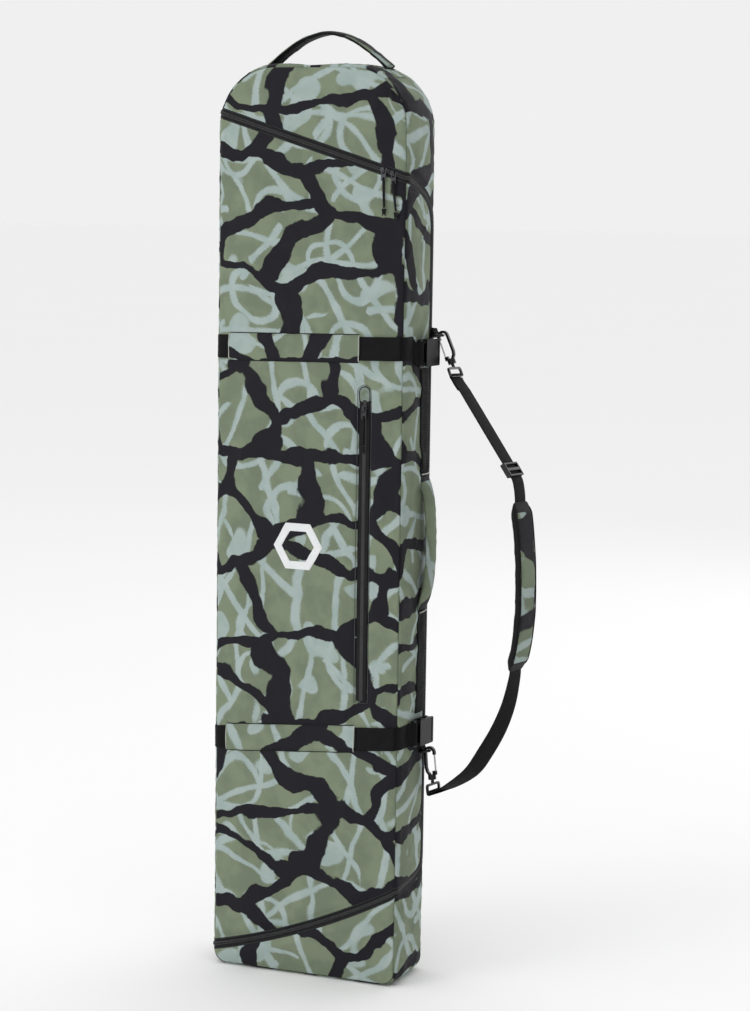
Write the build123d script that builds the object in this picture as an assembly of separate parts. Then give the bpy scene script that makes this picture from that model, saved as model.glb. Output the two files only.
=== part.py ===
from build123d import *
import math
import os

# ---------------------------------------------------------------------------
# Snowboard bag, standing on its end.  Millimetres, +Z up, origin at the middle
# of the flat base.  Front panel faces -Y, back panel faces +Y, the carry side
# (side handle, buckles, shoulder strap) faces +X.
# ---------------------------------------------------------------------------
os.makedirs("parts", exist_ok=True)

# driving dimensions
H = 1580.0          # height of the shell
W = 350.0           # width of the shell
D = 130.0           # depth of the shell
T = 6.0             # shell wall: outer fabric, padding and lining together
R_TOP = 105.0       # radius of the two top corners
R_BOT = 25.0        # radius of the two bottom corners
ZB = 6.0            # half width of the zip band
ZG = 0.15           # half gap between the two zip tapes
Z_TOP_L, Z_TOP_R = 1500.8, 1393.0      # main zip on the front, left and right
Z_BOT_L, Z_BOT_M, Z_BOT_R = 34.3, 87.4, 169.8
Y_ZIP = 53.0        # back run of the zip on the right gusset
WEB = 40.0          # compression strap webbing width
WT = 2.0            # webbing thickness
WEB_S = 38.0        # shoulder strap webbing width
HX, HY = -W / 2, D / 2   # lid hinge line

X0, X1 = -W / 2, W / 2
Y0, Y1 = -D / 2, D / 2


def save(node, shape):
    export_step(shape, "parts/%s.step" % node)


def poly(pts):
    """Closed face in the XY plane of its own sketch."""
    return make_face(Polyline([(p[0], p[1]) for p in pts], close=True))


def plate_xz(pts, ya, yb):
    """Prism with an X-Z outline between two Y values."""
    f = make_face(Polyline([(p[0], ya, p[1]) for p in pts], close=True))
    return extrude(f, amount=yb - ya, dir=(0, 1, 0))


def plate_yz(pts, xa, xb):
    """Prism with a Y-Z outline between two X values."""
    f = make_face(Polyline([(xa, p[0], p[1]) for p in pts], close=True))
    return extrude(f, amount=xb - xa, dir=(1, 0, 0))


def bx(xa, xb, ya, yb, za, zb):
    return Pos((xa + xb) / 2, (ya + yb) / 2, (za + zb) / 2) * Box(
        abs(xb - xa), abs(yb - ya), abs(zb - za))


def outline(inset, ya, yb):
    """Rounded tall outline of the shell, inset all round."""
    xa, xb, zb, zt = X0 + inset, X1 - inset, inset, H - inset
    rt, rb = R_TOP - inset, R_BOT - inset
    k = math.sqrt(0.5)
    e = [
        Line((xa + rb, ya, zb), (xb - rb, ya, zb)),
        ThreePointArc((xb - rb, ya, zb), (xb - rb + rb * k, ya, zb + rb - rb * k), (xb, ya, zb + rb)),
        Line((xb, ya, zb + rb), (xb, ya, zt - rt)),
        ThreePointArc((xb, ya, zt - rt), (xb - rt + rt * k, ya, zt - rt + rt * k), (xb - rt, ya, zt)),
        Line((xb - rt, ya, zt), (xa + rt, ya, zt)),
        ThreePointArc((xa + rt, ya, zt), (xa + rt - rt * k, ya, zt - rt + rt * k), (xa, ya, zt - rt)),
        Line((xa, ya, zt - rt), (xa, ya, zb + rb)),
        ThreePointArc((xa, ya, zb + rb), (xa + rb - rb * k, ya, zb + rb - rb * k), (xa + rb, ya, zb)),
    ]
    return extrude(make_face(Wire(e)), amount=yb - ya, dir=(0, 1, 0))


# ------------------------------------------------------------------ zip lines
def z_top(x):
    return Z_TOP_L + (Z_TOP_R - Z_TOP_L) * (x - X0) / W


def z_bot(x):
    u = (x - X0) / W
    b = 2 * (Z_BOT_L + Z_BOT_R - 2 * Z_BOT_M)
    a = Z_BOT_R - Z_BOT_L - b
    return Z_BOT_L + a * u + b * u * u


def bez(p, n):
    out = []
    for i in range(n + 1):
        t = i / n
        a, b, c, d = (1 - t) ** 3, 3 * t * (1 - t) ** 2, 3 * t * t * (1 - t), t ** 3
        out.append((a * p[0][0] + b * p[1][0] + c * p[2][0] + d * p[3][0],
                    a * p[0][1] + b * p[1][1] + c * p[2][1] + d * p[3][1]))
    return out


# path of the zip on the right gusset, from the front seam over the top corner,
# down the back edge and round the bottom corner to the front seam again (Y, Z)
GP = bez([(Y0 + T, Z_TOP_R), (-5, 1376), (Y_ZIP, 1362), (Y_ZIP, 1305)], 12) + \
    bez([(Y_ZIP, 215), (Y_ZIP, 172), (-8, 180), (Y0 + T, Z_BOT_R)], 12)


def off(path, d):
    """Offset an open polyline to its left by d; both ends keep their Y."""
    out = []
    n = len(path)
    for i, p in enumerate(path):
        a = path[max(i - 1, 0)]
        b = path[min(i + 1, n - 1)]
        tx, ty = b[0] - a[0], b[1] - a[1]
        q = math.hypot(tx, ty)
        nx, ny = -ty / q, tx / q
        if i in (0, n - 1):
            out.append((p[0], p[1] + (d / ny)))
        else:
            out.append((p[0] + nx * d, p[1] + ny * d))
    return out


YF = Y0 + T                 # inner face of the front panel
YBK = Y1 - T                # inner face of the back panel
YL = YBK - 0.5              # back edge of the lid's left gusset
XS = [X0 + W * i / 12 for i in range(13)]

# ------------------------------------------------------------- shell, tub side
ring = outline(0, YF, YBK) - outline(T, YF - 1, YBK + 1)
front = outline(0, Y0, YF)

back_panel = outline(0, YBK, Y1)
top_front_panel = front & plate_xz(
    [(X0 - 5, z_top(X0 - 5) + ZB), (X1 + 5, z_top(X1 + 5) + ZB), (X1 + 5, H + 5), (X0 - 5, H + 5)], Y0, YF)
bottom_front_panel = front & plate_xz(
    [(x, z_bot(x) - ZB) for x in XS] + [(X1, -5), (X0, -5)], Y0, YF)

g_tub = off(GP, ZB)         # outer side of the band (tub)
g_t1 = off(GP, ZG)
g_l1 = off(GP, -ZG)
g_lid = off(GP, -ZB)
N = len(GP) // 2
# the gusset stops square where the zip band reaches the back seam
gt = [p for p in g_tub[:N] if p[0] < YBK - 1.0]
gb = [p for p in g_tub[N:] if p[0] < YBK - 1.0]
top_gusset = ring - bx(X0 - 5, 0, Y0, Y1 + 1, -5, Z_TOP_L + ZB) \
    - plate_yz([(YF - 2, -5), (YF - 2, gt[0][1])] + gt + [(Y1, gt[-1][1]), (Y1, -5)], 0, X1 + 5)
bottom_gusset = ring - bx(X0 - 5, 0, Y0, Y1 + 1, Z_BOT_L - ZB, H + 5) \
    - plate_yz([(YF - 2, H + 5), (Y1, H + 5), (Y1, gb[0][1])] + gb + [(YF - 2, gb[-1][1])], 0, X1 + 5)

# zip, tub side: top run on the front, left return, right gusset, back edge, bottom run
tt = plate_xz([(x, z_top(x) + ZG) for x in (X0, X1)] + [(x, z_top(x) + ZB) for x in (X1, X0)], Y0 + 1, YF - 1)
tb = plate_xz([(x, z_bot(x) - ZG) for x in XS] + [(x, z_bot(x) - ZB) for x in reversed(XS)], Y0 + 1, YF - 1)
front_bb = outline(0, Y0, YF)
zip_tape_tub = (tt & front_bb) + (tb & front_bb)
zip_tape_tub += bx(X0 + 1, X0 + T - 1, YF - 1, YBK, Z_TOP_L + ZG, Z_TOP_L + ZB) & outline(1, YF - 1, YBK)
zip_tape_tub += bx(X0 + 1, X0 + T - 1, YF - 1, YBK, Z_BOT_L - ZB, Z_BOT_L - ZG)
zip_tape_tub += plate_yz(g_t1 + list(reversed(g_tub)), X1 - T + 1, X1 - 1)
zip_tape_tub += bx(X1 - T + 1, X1 - 1, YF - 1, YF, z_top(X1) + ZG + .3, g_tub[0][1])
zip_tape_tub += bx(X1 - T + 1, X1 - 1, YF - 1, YF, g_tub[-1][1], z_bot(X1) - ZG - .3)

# ------------------------------------------------------------- shell, lid side
front_panel = plate_xz(
    [(x, z_bot(x) + ZB) for x in XS] + [(X1, z_top(X1) - ZB), (X0, z_top(X0) - ZB)], Y0, YF) & front_bb
left_gusset = bx(X0, X0 + T, YF, YL, Z_BOT_L + ZB, Z_TOP_L - ZB) & outline(0, YF, YL)
right_gusset = plate_yz(g_lid, X1 - T, X1)
lt = plate_xz([(x, z_top(x) - ZG) for x in (X0, X1)] + [(x, z_top(x) - ZB) for x in (X1, X0)], Y0 + 1, YF - 1)
lb = plate_xz([(x, z_bot(x) + ZG) for x in XS] + [(x, z_bot(x) + ZB) for x in reversed(XS)], Y0 + 1, YF - 1)
zip_tape_lid = (lt & front_bb) + (lb & front_bb)
zip_tape_lid += bx(X0 + 1, X0 + T - 1, YF - 1, YL, Z_TOP_L - ZB, Z_TOP_L - ZG) & outline(1, YF - 1, YBK)
zip_tape_lid += bx(X0 + 1, X0 + T - 1, YF - 1, YL, Z_BOT_L + ZG, Z_BOT_L + ZB)
zip_tape_lid += plate_yz(g_l1 + list(reversed(g_lid)), X1 - T + 1, X1 - 1)
zip_tape_lid += bx(X1 - T + 1, X1 - 1, YF - 1, YF, g_lid[0][1], z_top(X1) - ZG - .3)
zip_tape_lid += bx(X1 - T + 1, X1 - 1, YF - 1, YF, z_bot(X1) + ZG + .3, g_lid[-1][1])

# --------------------------------------------------- compression straps (2 off)
UP_L, UP_R, UP_B = 1100.5, 1108.0, 1099.0       # strap centre: left, right seam, buckle
LO_L, LO_R, LO_B = 412.0, 440.0, 441.0


def front_strap(zl, zr, y_end):
    h = WEB / 2
    s = plate_xz([(X0 - WT, zl - h), (X1 + WT, zr - h), (X1 + WT, zr + h), (X0 - WT, zl + h)], Y0 - WT, Y0)
    s += bx(X0 - WT, X0, Y0, YL - 2, zl - h, zl + h)
    s += bx(X1, X1 + WT, Y0, y_end, zr - h, zr + h)
    return s


def sleeve(zl, zr, hw):
    xa, xb = -150.0, 94.0
    f = lambda x: zl + (zr - zl) * (x - X0) / W
    o = plate_xz([(xa, f(xa) - hw), (xb, f(xb) - hw), (xb, f(xb) + hw), (xa, f(xa) + hw)], Y0 - 4.2, Y0)
    h = WEB / 2
    i = plate_xz([(xa - 9, f(xa - 9) - h), (xb + 9, f(xb + 9) - h), (xb + 9, f(xb + 9) + h), (xa - 9, f(xa - 9) + h)],
                 Y0 - WT, Y0 + 1)
    return o - i


def back_strap(zc, xr_end):
    h = WEB / 2
    s = bx(X0, X1 + WT + .4, Y1, Y1 + WT, zc - h, zc + h)
    s += bx(X1 + .4, X1 + WT + .4, Y_BUCK_R, Y1, zc - h, zc + h)
    return s


# side-release buckle: frame at the mouth, b runs into the housing (rearwards,
# leaning outwards so that it points along the arc on which the lid opens)
BA = math.radians(7.5)
BO = (185.5, -6.0)
Y_BUCK_R = 43.0


def bframe(z):
    return Plane(origin=(BO[0], BO[1], z), x_dir=(math.sin(BA), math.cos(BA), 0), z_dir=(math.cos(BA), -math.sin(BA), 0))


def bbox(z, b0, b1, h0, h1, t0, t1):
    """Box in the buckle's frame: b along, h across (vertical), t outwards."""
    pl = bframe(z)
    return pl * (Pos((b0 + b1) / 2, (h0 + h1) / 2, (t0 + t1) / 2) * Box(b1 - b0, abs(h1 - h0), t1 - t0))


def rbox(z, b0, b1, h0, h1, t0, t1, r):
    """The same, with its four corners seen from outside rounded."""
    pl = bframe(z)
    f = RectangleRounded(b1 - b0, abs(h1 - h0), r)
    return pl * (Pos((b0 + b1) / 2, (h0 + h1) / 2, t0) * extrude(f, amount=t1 - t0))


def buckle_female(z):
    s = rbox(z, 0, 46, -23, 23, 4.6, 7.6, 3)            # outer wall
    s += rbox(z, 0, 46, -23, 23, -6.6, -4.4, 3)         # inner wall
    s += bbox(z, 35, 38.6, -21.5, 21.5, -5, 5)          # closed end
    s += bbox(z, 38, 44.6, 20.2, 21.8, -5, 5) + bbox(z, 38, 44.6, -21.8, -20.2, -5, 5)
    s += bbox(z, 42.6, 44.6, -21, 21, -1.4, 1.4)        # webbing bar
    s -= bbox(z, 39.2, 42.0, -19.6, 19.6, 4.0, 8)       # webbing slot
    return s


def buckle_male(z):
    s = rbox(z, -16, -1.5, -23, 23, -3.2, 3.2, 3)
    s -= bbox(z, -12.5, -8.6, -20.5, 20.5, -4, 4)       # webbing slots
    s -= bbox(z, -6.4, -3.6, -20.5, 20.5, -4, 4)
    s += rbox(z, -2.5, 31, -5, 5, -2.5, 2.5, 2)         # guide tongue
    return s


def arm(z, sgn):
    """Release arm: slim root, broad thumb pad that stands out of the open side."""
    pl = bframe(z)
    pts = [(-1.0, 13.5), (-1.0, 17.5), (6, 18.5), (12, 22.5), (20, 22.8), (26, 19.0), (31, 15.0), (31, 12.5), (24, 13.0), (10, 12.8)]
    f = make_face(Polyline([(p[0], sgn * p[1]) for p in pts], close=True))
    return pl * (Pos(0, 0, -2.8) * extrude(f, amount=5.6, dir=(0, 0, 1)))


front_strap_upper = front_strap(UP_L, UP_R, -19)
front_strap_lower = front_strap(LO_L, LO_R, -19)
strap_sleeve_upper = sleeve(UP_L, UP_R, 23.5)
strap_sleeve_lower = sleeve(LO_L, LO_R, 23.5)
back_strap_upper = back_strap(UP_B - 1, 0)
back_strap_lower = back_strap(LO_B, 0)
buckle_female_upper = buckle_female(UP_B)
buckle_female_lower = buckle_female(LO_B)
buckle_male_upper = buckle_male(UP_B)
buckle_male_lower = buckle_male(LO_B)
# the webbing is led on to the male buckle's bar
front_strap_upper += bx(X1, X1 + WT, -24, -13.5, UP_B - 20, UP_B + 20)
front_strap_upper += bbox(UP_B, -19, -13, -20, 20, -3.2 - 4.5, -3.2 - 2.3) - bx(0, X1, Y0, Y1, 0, H)
front_strap_lower += bbox(LO_B, -19, -13, -20, 20, -3.2 - 4.5, -3.2 - 2.3) - bx(0, X1, Y0, Y1, 0, H)

# ----------------------------------------------------------------- side handle
SHY = 22.0
side_handle_web_upper = bx(X1, X1 + WT, SHY - 19, SHY + 19, 886, 1071)
side_handle_web_lower = bx(X1, X1 + WT, SHY - 19, SHY + 19, 473, 654)


def ribbon(pts, t):
    """Closed outline of a strip of thickness t along a centre line."""
    a = off_free(pts, t / 2)
    b = off_free(pts, -t / 2)
    return a + list(reversed(b))


def off_free(path, d):
    out = []
    n = len(path)
    for i, p in enumerate(path):
        a = path[max(i - 1, 0)]
        b = path[min(i + 1, n - 1)]
        tx, ty = b[0] - a[0], b[1] - a[1]
        q = math.hypot(tx, ty)
        out.append((p[0] - ty / q * d, p[1] + tx / q * d))
    return out


def smooth(pts, n=6):
    """Catmull-Rom points through pts."""
    out = []
    m = len(pts)
    for i in range(m - 1):
        p0 = pts[max(i - 1, 0)]
        p1, p2 = pts[i], pts[i + 1]
        p3 = pts[min(i + 2, m - 1)]
        for k in range(n):
            t = k / n
            out.append(tuple(
                0.5 * ((2 * p1[c]) + (-p0[c] + p2[c]) * t + (2 * p0[c] - 5 * p1[c] + 4 * p2[c] - p3[c]) * t * t
                       + (-p0[c] + 3 * p1[c] - 3 * p2[c] + p3[c]) * t ** 3) for c in (0, 1)))
    out.append(tuple(pts[-1]))
    return out


GRIP_T = 9.0
grip_line = smooth([(X1 + 7, 884), (X1 + 14.5, 850), (X1 + 19, 810), (X1 + 20, 770), (X1 + 19, 730), (X1 + 14.5, 690), (X1 + 7, 656)], 3)
gf = make_face(Polyline([(p[0], SHY - 21, p[1]) for p in ribbon(grip_line, GRIP_T)], close=True))
side_handle_grip = extrude(gf, amount=42, dir=(0, 1, 0))
# the two sewn ends of the grip lie on the webbing
side_handle_grip += bx(X1 + WT, X1 + 8, SHY - 21, SHY + 21, 868, 892)
side_handle_grip += bx(X1 + WT, X1 + 8, SHY - 21, SHY + 21, 648, 672)
side_handle_grip -= bx(0, X1 + WT, -100, 100, 0, H)

# ---------------------------------------------------------------------- pocket
PX = 105.0
P_LO, P_HI = 509.0, 1024.0
welt = bx(PX - 9, PX + 9, Y0 - 1.6, Y0, 492, 1042) - bx(PX - 3.2, PX + 3.2, Y0 - 3, Y0 + 1, P_LO, P_HI)
pocket_welt = welt
pocket_zip = bx(PX - 3.2, PX + 3.2, Y0 - 1.2, Y0, P_LO, P_HI)
pocket_bag = bx(-60, 128, YF, YF + 2.5, 480, 1052)

# ------------------------------------------------------ zip sliders and pullers
ZA = math.atan2(Z_TOP_R - Z_TOP_L, W)      # slope of the top zip


def slider(x, z, ang):
    """Slider body on the zip with its bail: a flat boat with a bridge."""
    pl = Plane(origin=(x, Y0 - 0.4, z), x_dir=(math.cos(ang), 0, math.sin(ang)), z_dir=(0, -1, 0))
    f = Polygon((-6.5, -3.2), (-3, -4.6), (3, -5.2), (6.5, -3.4), (6.5, 3.4), (3, 5.2), (-3, 4.6), (-6.5, 3.2), align=None)
    s = extrude(f, amount=2.4)
    pv = Plane(origin=(x, Y0 - 0.4, z), x_dir=(0, 0, 1), z_dir=(0, -1, 0))
    b = Pos(0, 0, 2.4) * (Box(8.4, 2.2, 3.6, align=(Align.CENTER, Align.CENTER, Align.MIN))
                          - Pos(0, 0, -0.1) * Box(5.0, 4, 2.5, align=(Align.CENTER, Align.CENTER, Align.MIN)))
    return pl * s + pv * b


def puller(x, z, drop):
    """Flat pull tab hanging from the bail; its top bar sits in the bail, the cord goes through its foot."""
    yc = Y0 - 0.4 - 2.4 - 1.25
    w = Pos(x, yc, z) * Cylinder(0.9, 5.2, rotation=(0, 90, 0))
    top = bx(x - 4.2, x - 2.4, yc - 0.9, yc + 0.9, z - 6.2, z + 0.9) + bx(x + 2.4, x + 4.2, yc - 0.9, yc + 0.9, z - 6.2, z + 0.9)
    body = bx(x - 4.2, x + 4.2, yc - 0.9, yc + 0.9, z - drop, z - 6.2) - bx(x - 2.4, x + 2.4, yc - 2, yc + 2, z - drop + 2.0, z - drop + 6.0)
    return w + top + body


XA, XB = 134.0, 152.0
ZA_, ZB_ = z_top(XA), z_top(XB)
main_slider_a = slider(XA, ZA_, ZA)
main_slider_b = slider(XB, ZB_, ZA)
P_DROP = 17.0
main_pull_a = puller(XA, ZA_, P_DROP)
main_pull_b = puller(XB, ZB_, P_DROP)
ZP = 1004.0
pocket_slider = slider(PX, ZP, math.radians(90))
pocket_slider = Pos(0, -1.2, 0) * pocket_slider
pocket_pull = Pos(0, -1.2, 0) * puller(PX, ZP, P_DROP)

# pull cords: a short cord doubled over the foot of each tab, both ends in a knot
CORD_D = 2.4
# (outward distance from the tab's mid-plane, height above the tab's foot)
CORD_PTS = [(1.45, -46.0), (1.75, -36.0), (2.35, -26.0), (2.55, -17.0), (2.75, -10.0), (2.60, -5.0), (2.85, -1.0), (2.70, 3.2),
            (-2.70, 3.2), (-2.85, -1.0), (-2.60, -5.0), (-2.75, -10.0), (-2.55, -17.0), (-2.35, -26.0), (-1.75, -36.0), (-1.45, -46.0)]


def cord_radii(p3):
    rad = []
    for i in range(1, len(p3) - 1):
        a, b, c = p3[i - 1], p3[i], p3[i + 1]
        v1, v2 = b - a, c - b
        ang = math.radians(v1.get_angle(v2))
        rad.append(0.45 * min(v1.length, v2.length) / math.tan(ang / 2))
    return rad


def cord(x, z, lean, dy):
    """z is the height of the tab's foot bar; lean shifts the lower end sideways."""
    yc = Y0 - 0.4 - 2.4 - 1.25 + dy
    p3 = [Vector(x + lean * ((3.2 - h) / 49.2) ** 1.5, yc - a, z + h) for a, h in CORD_PTS]
    rad = cord_radii(p3)
    line = FilletPolyline(*p3, radius=rad)
    print("cord radii", [round(r, 1) for r in rad], "length", round(line.length, 2))
    w = Wire(line.edges()) if not isinstance(line, Wire) else line
    start = Plane(origin=w @ 0, z_dir=w % 0)
    s = sweep(start * Circle(CORD_D / 2), path=w)
    print("  volume / (area*length) = %.4f" % (s.volume / (math.pi * (CORD_D / 2) ** 2 * w.length)))
    return s, p3


def knot(p3, lean):
    a, b = p3[0], p3[-1]
    m = (a + b) * 0.5
    k = Pos(m.X, m.Y, m.Z - 5.5) * Sphere(4.0)
    k += Pos(m.X, m.Y, m.Z - 2.0) * Cylinder(3.0, 4.0)
    k += Pos(m.X, m.Y, m.Z - 9.6) * Cylinder(2.6, 7.0)
    return k


foot_a = ZA_ - P_DROP + 1.0
foot_b = ZB_ - P_DROP + 1.0
foot_p = ZP - P_DROP + 1.0
main_cord_a, pa = cord(XA, foot_a, 1.5, 0)
main_cord_b, pb = cord(XB, foot_b, 5.0, 0)
pocket_cord, pp = cord(PX, foot_p, -1.0, -1.5)
main_knot_a, main_knot_b, pocket_knot = knot(pa, 0), knot(pb, 0), knot(pp, 0)

# ------------------------------------------------------------------ top handle
# Arch of padded webbing; its two ends taper into the bar tacks that it folds about.
THX0, THX1, THZ = -98.0, 108.0, H + 4.2
cx = (THX0 + THX1) / 2
arch = smooth([(THX0, THZ + 1), (THX0 + 20, THZ + 16), (THX0 + 50, THZ + 36), (cx - 26, THZ + 47), (cx, THZ + 51.5), (cx + 26, THZ + 47),
               (THX1 - 50, THZ + 36), (THX1 - 20, THZ + 16), (THX1, THZ + 1)], 3)
af = make_face(Polyline([(p[0], -19, p[1]) for p in ribbon(arch, 5)], close=True))
ar = extrude(af, amount=38, dir=(0, 1, 0))
# taper the ends in the Y-Z view
tp = extrude(make_face(Polyline([(THX0 - 20, -3.2, THZ - 4), (THX0 - 20, -3.2, THZ + 3), (THX0 - 20, -19, THZ + 27), (THX0 - 20, -19, THZ + 70),
                                 (THX0 - 20, 19, THZ + 70), (THX0 - 20, 19, THZ + 27), (THX0 - 20, 3.2, THZ + 3), (THX0 - 20, 3.2, THZ - 4)], close=True)),
             amount=THX1 - THX0 + 40, dir=(1, 0, 0))
top_handle = ar & tp
for hx in (THX0, THX1):
    top_handle += Pos(hx, 0, THZ) * Cylinder(3.2, 26, rotation=(0, 90, 0))
top_handle_tab_left = bx(THX0 - 24, THX0 - 14, -16, 16, H, H + 2.2) + bx(THX0 + 14, THX0 + 20, -16, 16, H, H + 0.8)
top_handle_tab_right = bx(THX1 + 14, THX1 + 24, -16, 16, H, H + 2.2) + bx(THX1 - 20, THX1 - 14, -16, 16, H, H + 0.8)
# sockets of folded webbing that carry the ends of the handle
for hx, s in ((THX0, -1), (THX1, 1)):
    cup = Pos(hx + s * 16.3, 0, THZ) * Cylinder(4.2, 6.0, rotation=(0, 90, 0)) - Pos(hx, 0, THZ) * Cylinder(3.5, 26.6, rotation=(0, 90, 0))
    if s < 0:
        top_handle_tab_left += cup
    else:
        top_handle_tab_right += cup

# -------------------------------------------------------------- shoulder strap
# The strap hangs in one plane: origin at the lower ring, first axis outwards,
# second axis up through the upper ring.
PL = Vector(196.0, 31.0, 403.0)
PU = Vector(197.0, 55.6, 1126.0)
AL = math.radians(-7.0)
ER = Vector(math.cos(AL), math.sin(AL), 0)
AXD = (PU - PL).normalized()
NN = ER.cross(AXD).normalized()
SP = Plane(origin=PL, x_dir=ER, z_dir=NN)
UPL = (-2.0, 723.4)            # upper ring wire in that plane
RING_R = 2.2                   # ring wire radius
RING_HW = 11.0                 # half the ring's width between wire centres
RING_DEPTH = 15.2              # bar to the outermost wire centre


def in_sp(face_pts, half, z0=0.0):
    f = make_face(Polyline([(p[0], p[1]) for p in face_pts], close=True))
    return SP * (Pos(0, 0, z0 - half) * extrude(f, amount=2 * half, dir=(0, 0, 1)))


def d_ring(p, depth):
    """D ring lying level: straight bar at the tab, bow outwards."""
    hw = RING_HW
    o = Plane(origin=p - ER * 0, x_dir=ER, z_dir=(0, 0, 1))
    xb = -depth
    xs = -hw if hw < depth else -depth
    segs = [Line((xb, -hw), (xb, hw)), ThreePointArc((xs, hw), (0, 0), (xs, -hw))]
    if abs(xs - xb) > 0.01:
        segs += [Line((xb, hw), (xs, hw)), Line((xs, -hw), (xb, -hw))]
    pts = Wire(segs)
    path = o * pts
    e0 = path.edges()[0]
    prof = Plane(origin=o.from_local_coords(Vector(xb, 0, 0)) if hasattr(o, "from_local_coords") else p, z_dir=o.y_dir) * Circle(RING_R)
    return sweep(prof, path=path, transition=Transition.ROUND)


def ring_tab(p, depth, zdir, web):
    """Webbing loop round the ring's bar plus the leg that sews it down."""
    o = Plane(origin=p, x_dir=ER, z_dir=(0, 0, 1))
    c = o * (Pos(-depth, 0, 0) * (Cylinder(RING_R + 2.0, 18, rotation=(90, 0, 0)) - Cylinder(RING_R + 0.1, 30, rotation=(90, 0, 0))))
    return c + web


d_ring_upper = d_ring(PU, RING_DEPTH)
d_ring_lower = d_ring(PL, RING_DEPTH)
ring_tab_upper = ring_tab(PU, RING_DEPTH, 1, bx(X1, 181.0, 59.5, 65, 1122.0, 1160) + bx(X1, 177.5, 52, 65, 1128.0, 1160) - bx(X1, X1 + .4, 0, 58.9, 0, H))
ring_tab_lower = ring_tab(PL, RING_DEPTH, 1, bx(X1 + 1.0, X1 + 3.6, 24, 41, 403.0, LO_B - 23.5) + bx(X1 + .8, X1 + 2.8, 41, 60, 409.0, LO_B - 20))
ring_tab_upper -= d_ring_upper
ring_tab_lower -= d_ring_lower

# snap hook ------------------------------------------------------------------
HK = 67.0            # ring wire to the middle of the swivel loop
LOOP_HW = 23.0       # half the outer width of the swivel loop


def hook_frame(ring, loop):
    dx, dy = ring[0] - loop[0], ring[1] - loop[1]
    q = math.hypot(dx, dy)
    d = Vector(dx / q, dy / q, 0)
    org = SP.from_local_coords(Vector(loop[0], loop[1], 0))
    xd = SP.from_local_coords(Vector(loop[0] + d.X, loop[1] + d.Y, 0)) - org
    return Plane(origin=org, x_dir=xd, z_dir=NN), q


LOOP_U = (24.7, 661.8)
LOOP_L = (9.2, -64.5)
HFU, QU = hook_frame(UPL, LOOP_U)
HFL, QL = hook_frame((0.0, 0.0), LOOP_L)
print("hook lengths", round(QU, 2), round(QL, 2))


def swivel_loop(fr):
    """Flat ring for the webbing with the swivel post on its far side."""
    o = fr.offset(0)
    rr = Plane(origin=fr.origin, x_dir=fr.x_dir, z_dir=fr.y_dir)     # u along, across = strap width
    f = RectangleRounded(18, 2 * LOOP_HW, 6) - RectangleRounded(10.4, 2 * LOOP_HW - 7.6, 3.2)
    ring = rr * (Pos(0, 0, -1.9) * extrude(f, amount=3.8))
    post = fr * (Pos(13.85, 0, 0) * Cylinder(2.8, 11.9, rotation=(0, 90, 0)))
    head = fr * (Pos(21.0, 0, 0) * Cylinder(4.2, 3.0, rotation=(0, 90, 0)))
    return ring + post + head


def hook(fr, q, sg):
    """Hook body; sg puts the spine on that side and the gate on the other."""
    HT = 5.6
    ri, tw = 6.4, 4.2
    uc = q + RING_R + 1.8 - ri
    rm = ri + tw / 2
    line = [(24.0, sg * 4.0), (29.0, sg * 8.2), (36.0, sg * 9.6)]
    n = 14
    arc = [(uc + rm * math.sin(math.pi * i / n), sg * rm * math.cos(math.pi * i / n)) for i in range(n + 1)]
    tail = [(uc - 4.5, -sg * rm)]
    path = line + arc + tail
    f = make_face(Polyline(ribbon(path, tw), close=True))
    s = fr * (Pos(0, 0, -HT / 2) * extrude(f, amount=HT, dir=(0, 0, 1)))
    # swivel housing: a barrel round the post and its head
    bar = fr * (Pos(19.6, 0, 0) * Cylinder(7.0, 9.4, rotation=(0, 90, 0)))
    bar -= fr * (Pos(13.0, 0, 0) * Cylinder(3.15, 14.0, rotation=(0, 90, 0)))
    bar -= fr * (Pos(21.2, 0, 0) * Cylinder(4.6, 4.2, rotation=(0, 90, 0)))
    # gate lug
    lug = fr * (Pos(26.5, -sg * 6.2, 0) * Box(7.0, 6.6, 5.6))
    lug -= fr * (Pos(27.6, -sg * rm, 0) * Box(9.0, 4.4, 3.4))
    body = bar + s + lug
    return body, uc, rm


def gate(fr, uc, rm, sg):
    """Sprung wire gate: a closed bow of wire from the lug to the hook's nose."""
    g = 1.1
    u0, u1 = 27.2, uc - 5.4
    v = -sg * rm
    wire = fr * (Pos((u0 + u1) / 2, v, 0) * Cylinder(g, u1 - u0, rotation=(0, 90, 0)))
    a = fr * (Pos((u0 + u1) / 2, v, 0) * Box(u1 - u0, 2.0, 2.6))
    return a


hook_upper, ucu, rmu = hook(HFU, QU, -1)
hook_lower, ucl, rml = hook(HFL, QL, 1)
gate_upper = gate(HFU, ucu, rmu, -1)
gate_lower = gate(HFL, ucl, rml, 1)
swivel_loop_upper = swivel_loop(HFU)
swivel_loop_lower = swivel_loop(HFL)

# webbing and pad ---------------------------------------------------------------
ST = 2.5
pad_line = smooth([(158.5, 438), (163.5, 410), (167.4, 381), (171.4, 342), (173.3, 304), (174.0, 275), (173.6, 250), (169.0, 203), (161.5, 171)], 3)


def unit(a, b):
    q = math.hypot(b[0] - a[0], b[1] - a[1])
    return ((b[0] - a[0]) / q, (b[1] - a[1]) / q)


def web_eye(loop, toward):
    """Fold of webbing round the near bar of the swivel loop."""
    u = unit(loop, toward)
    return u


# the near bar of each swivel loop (towards the webbing)
def near_bar(loop, ring):
    u = unit(ring, loop)
    return (loop[0] + u[0] * 7.1, loop[1] + u[1] * 7.1)


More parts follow.
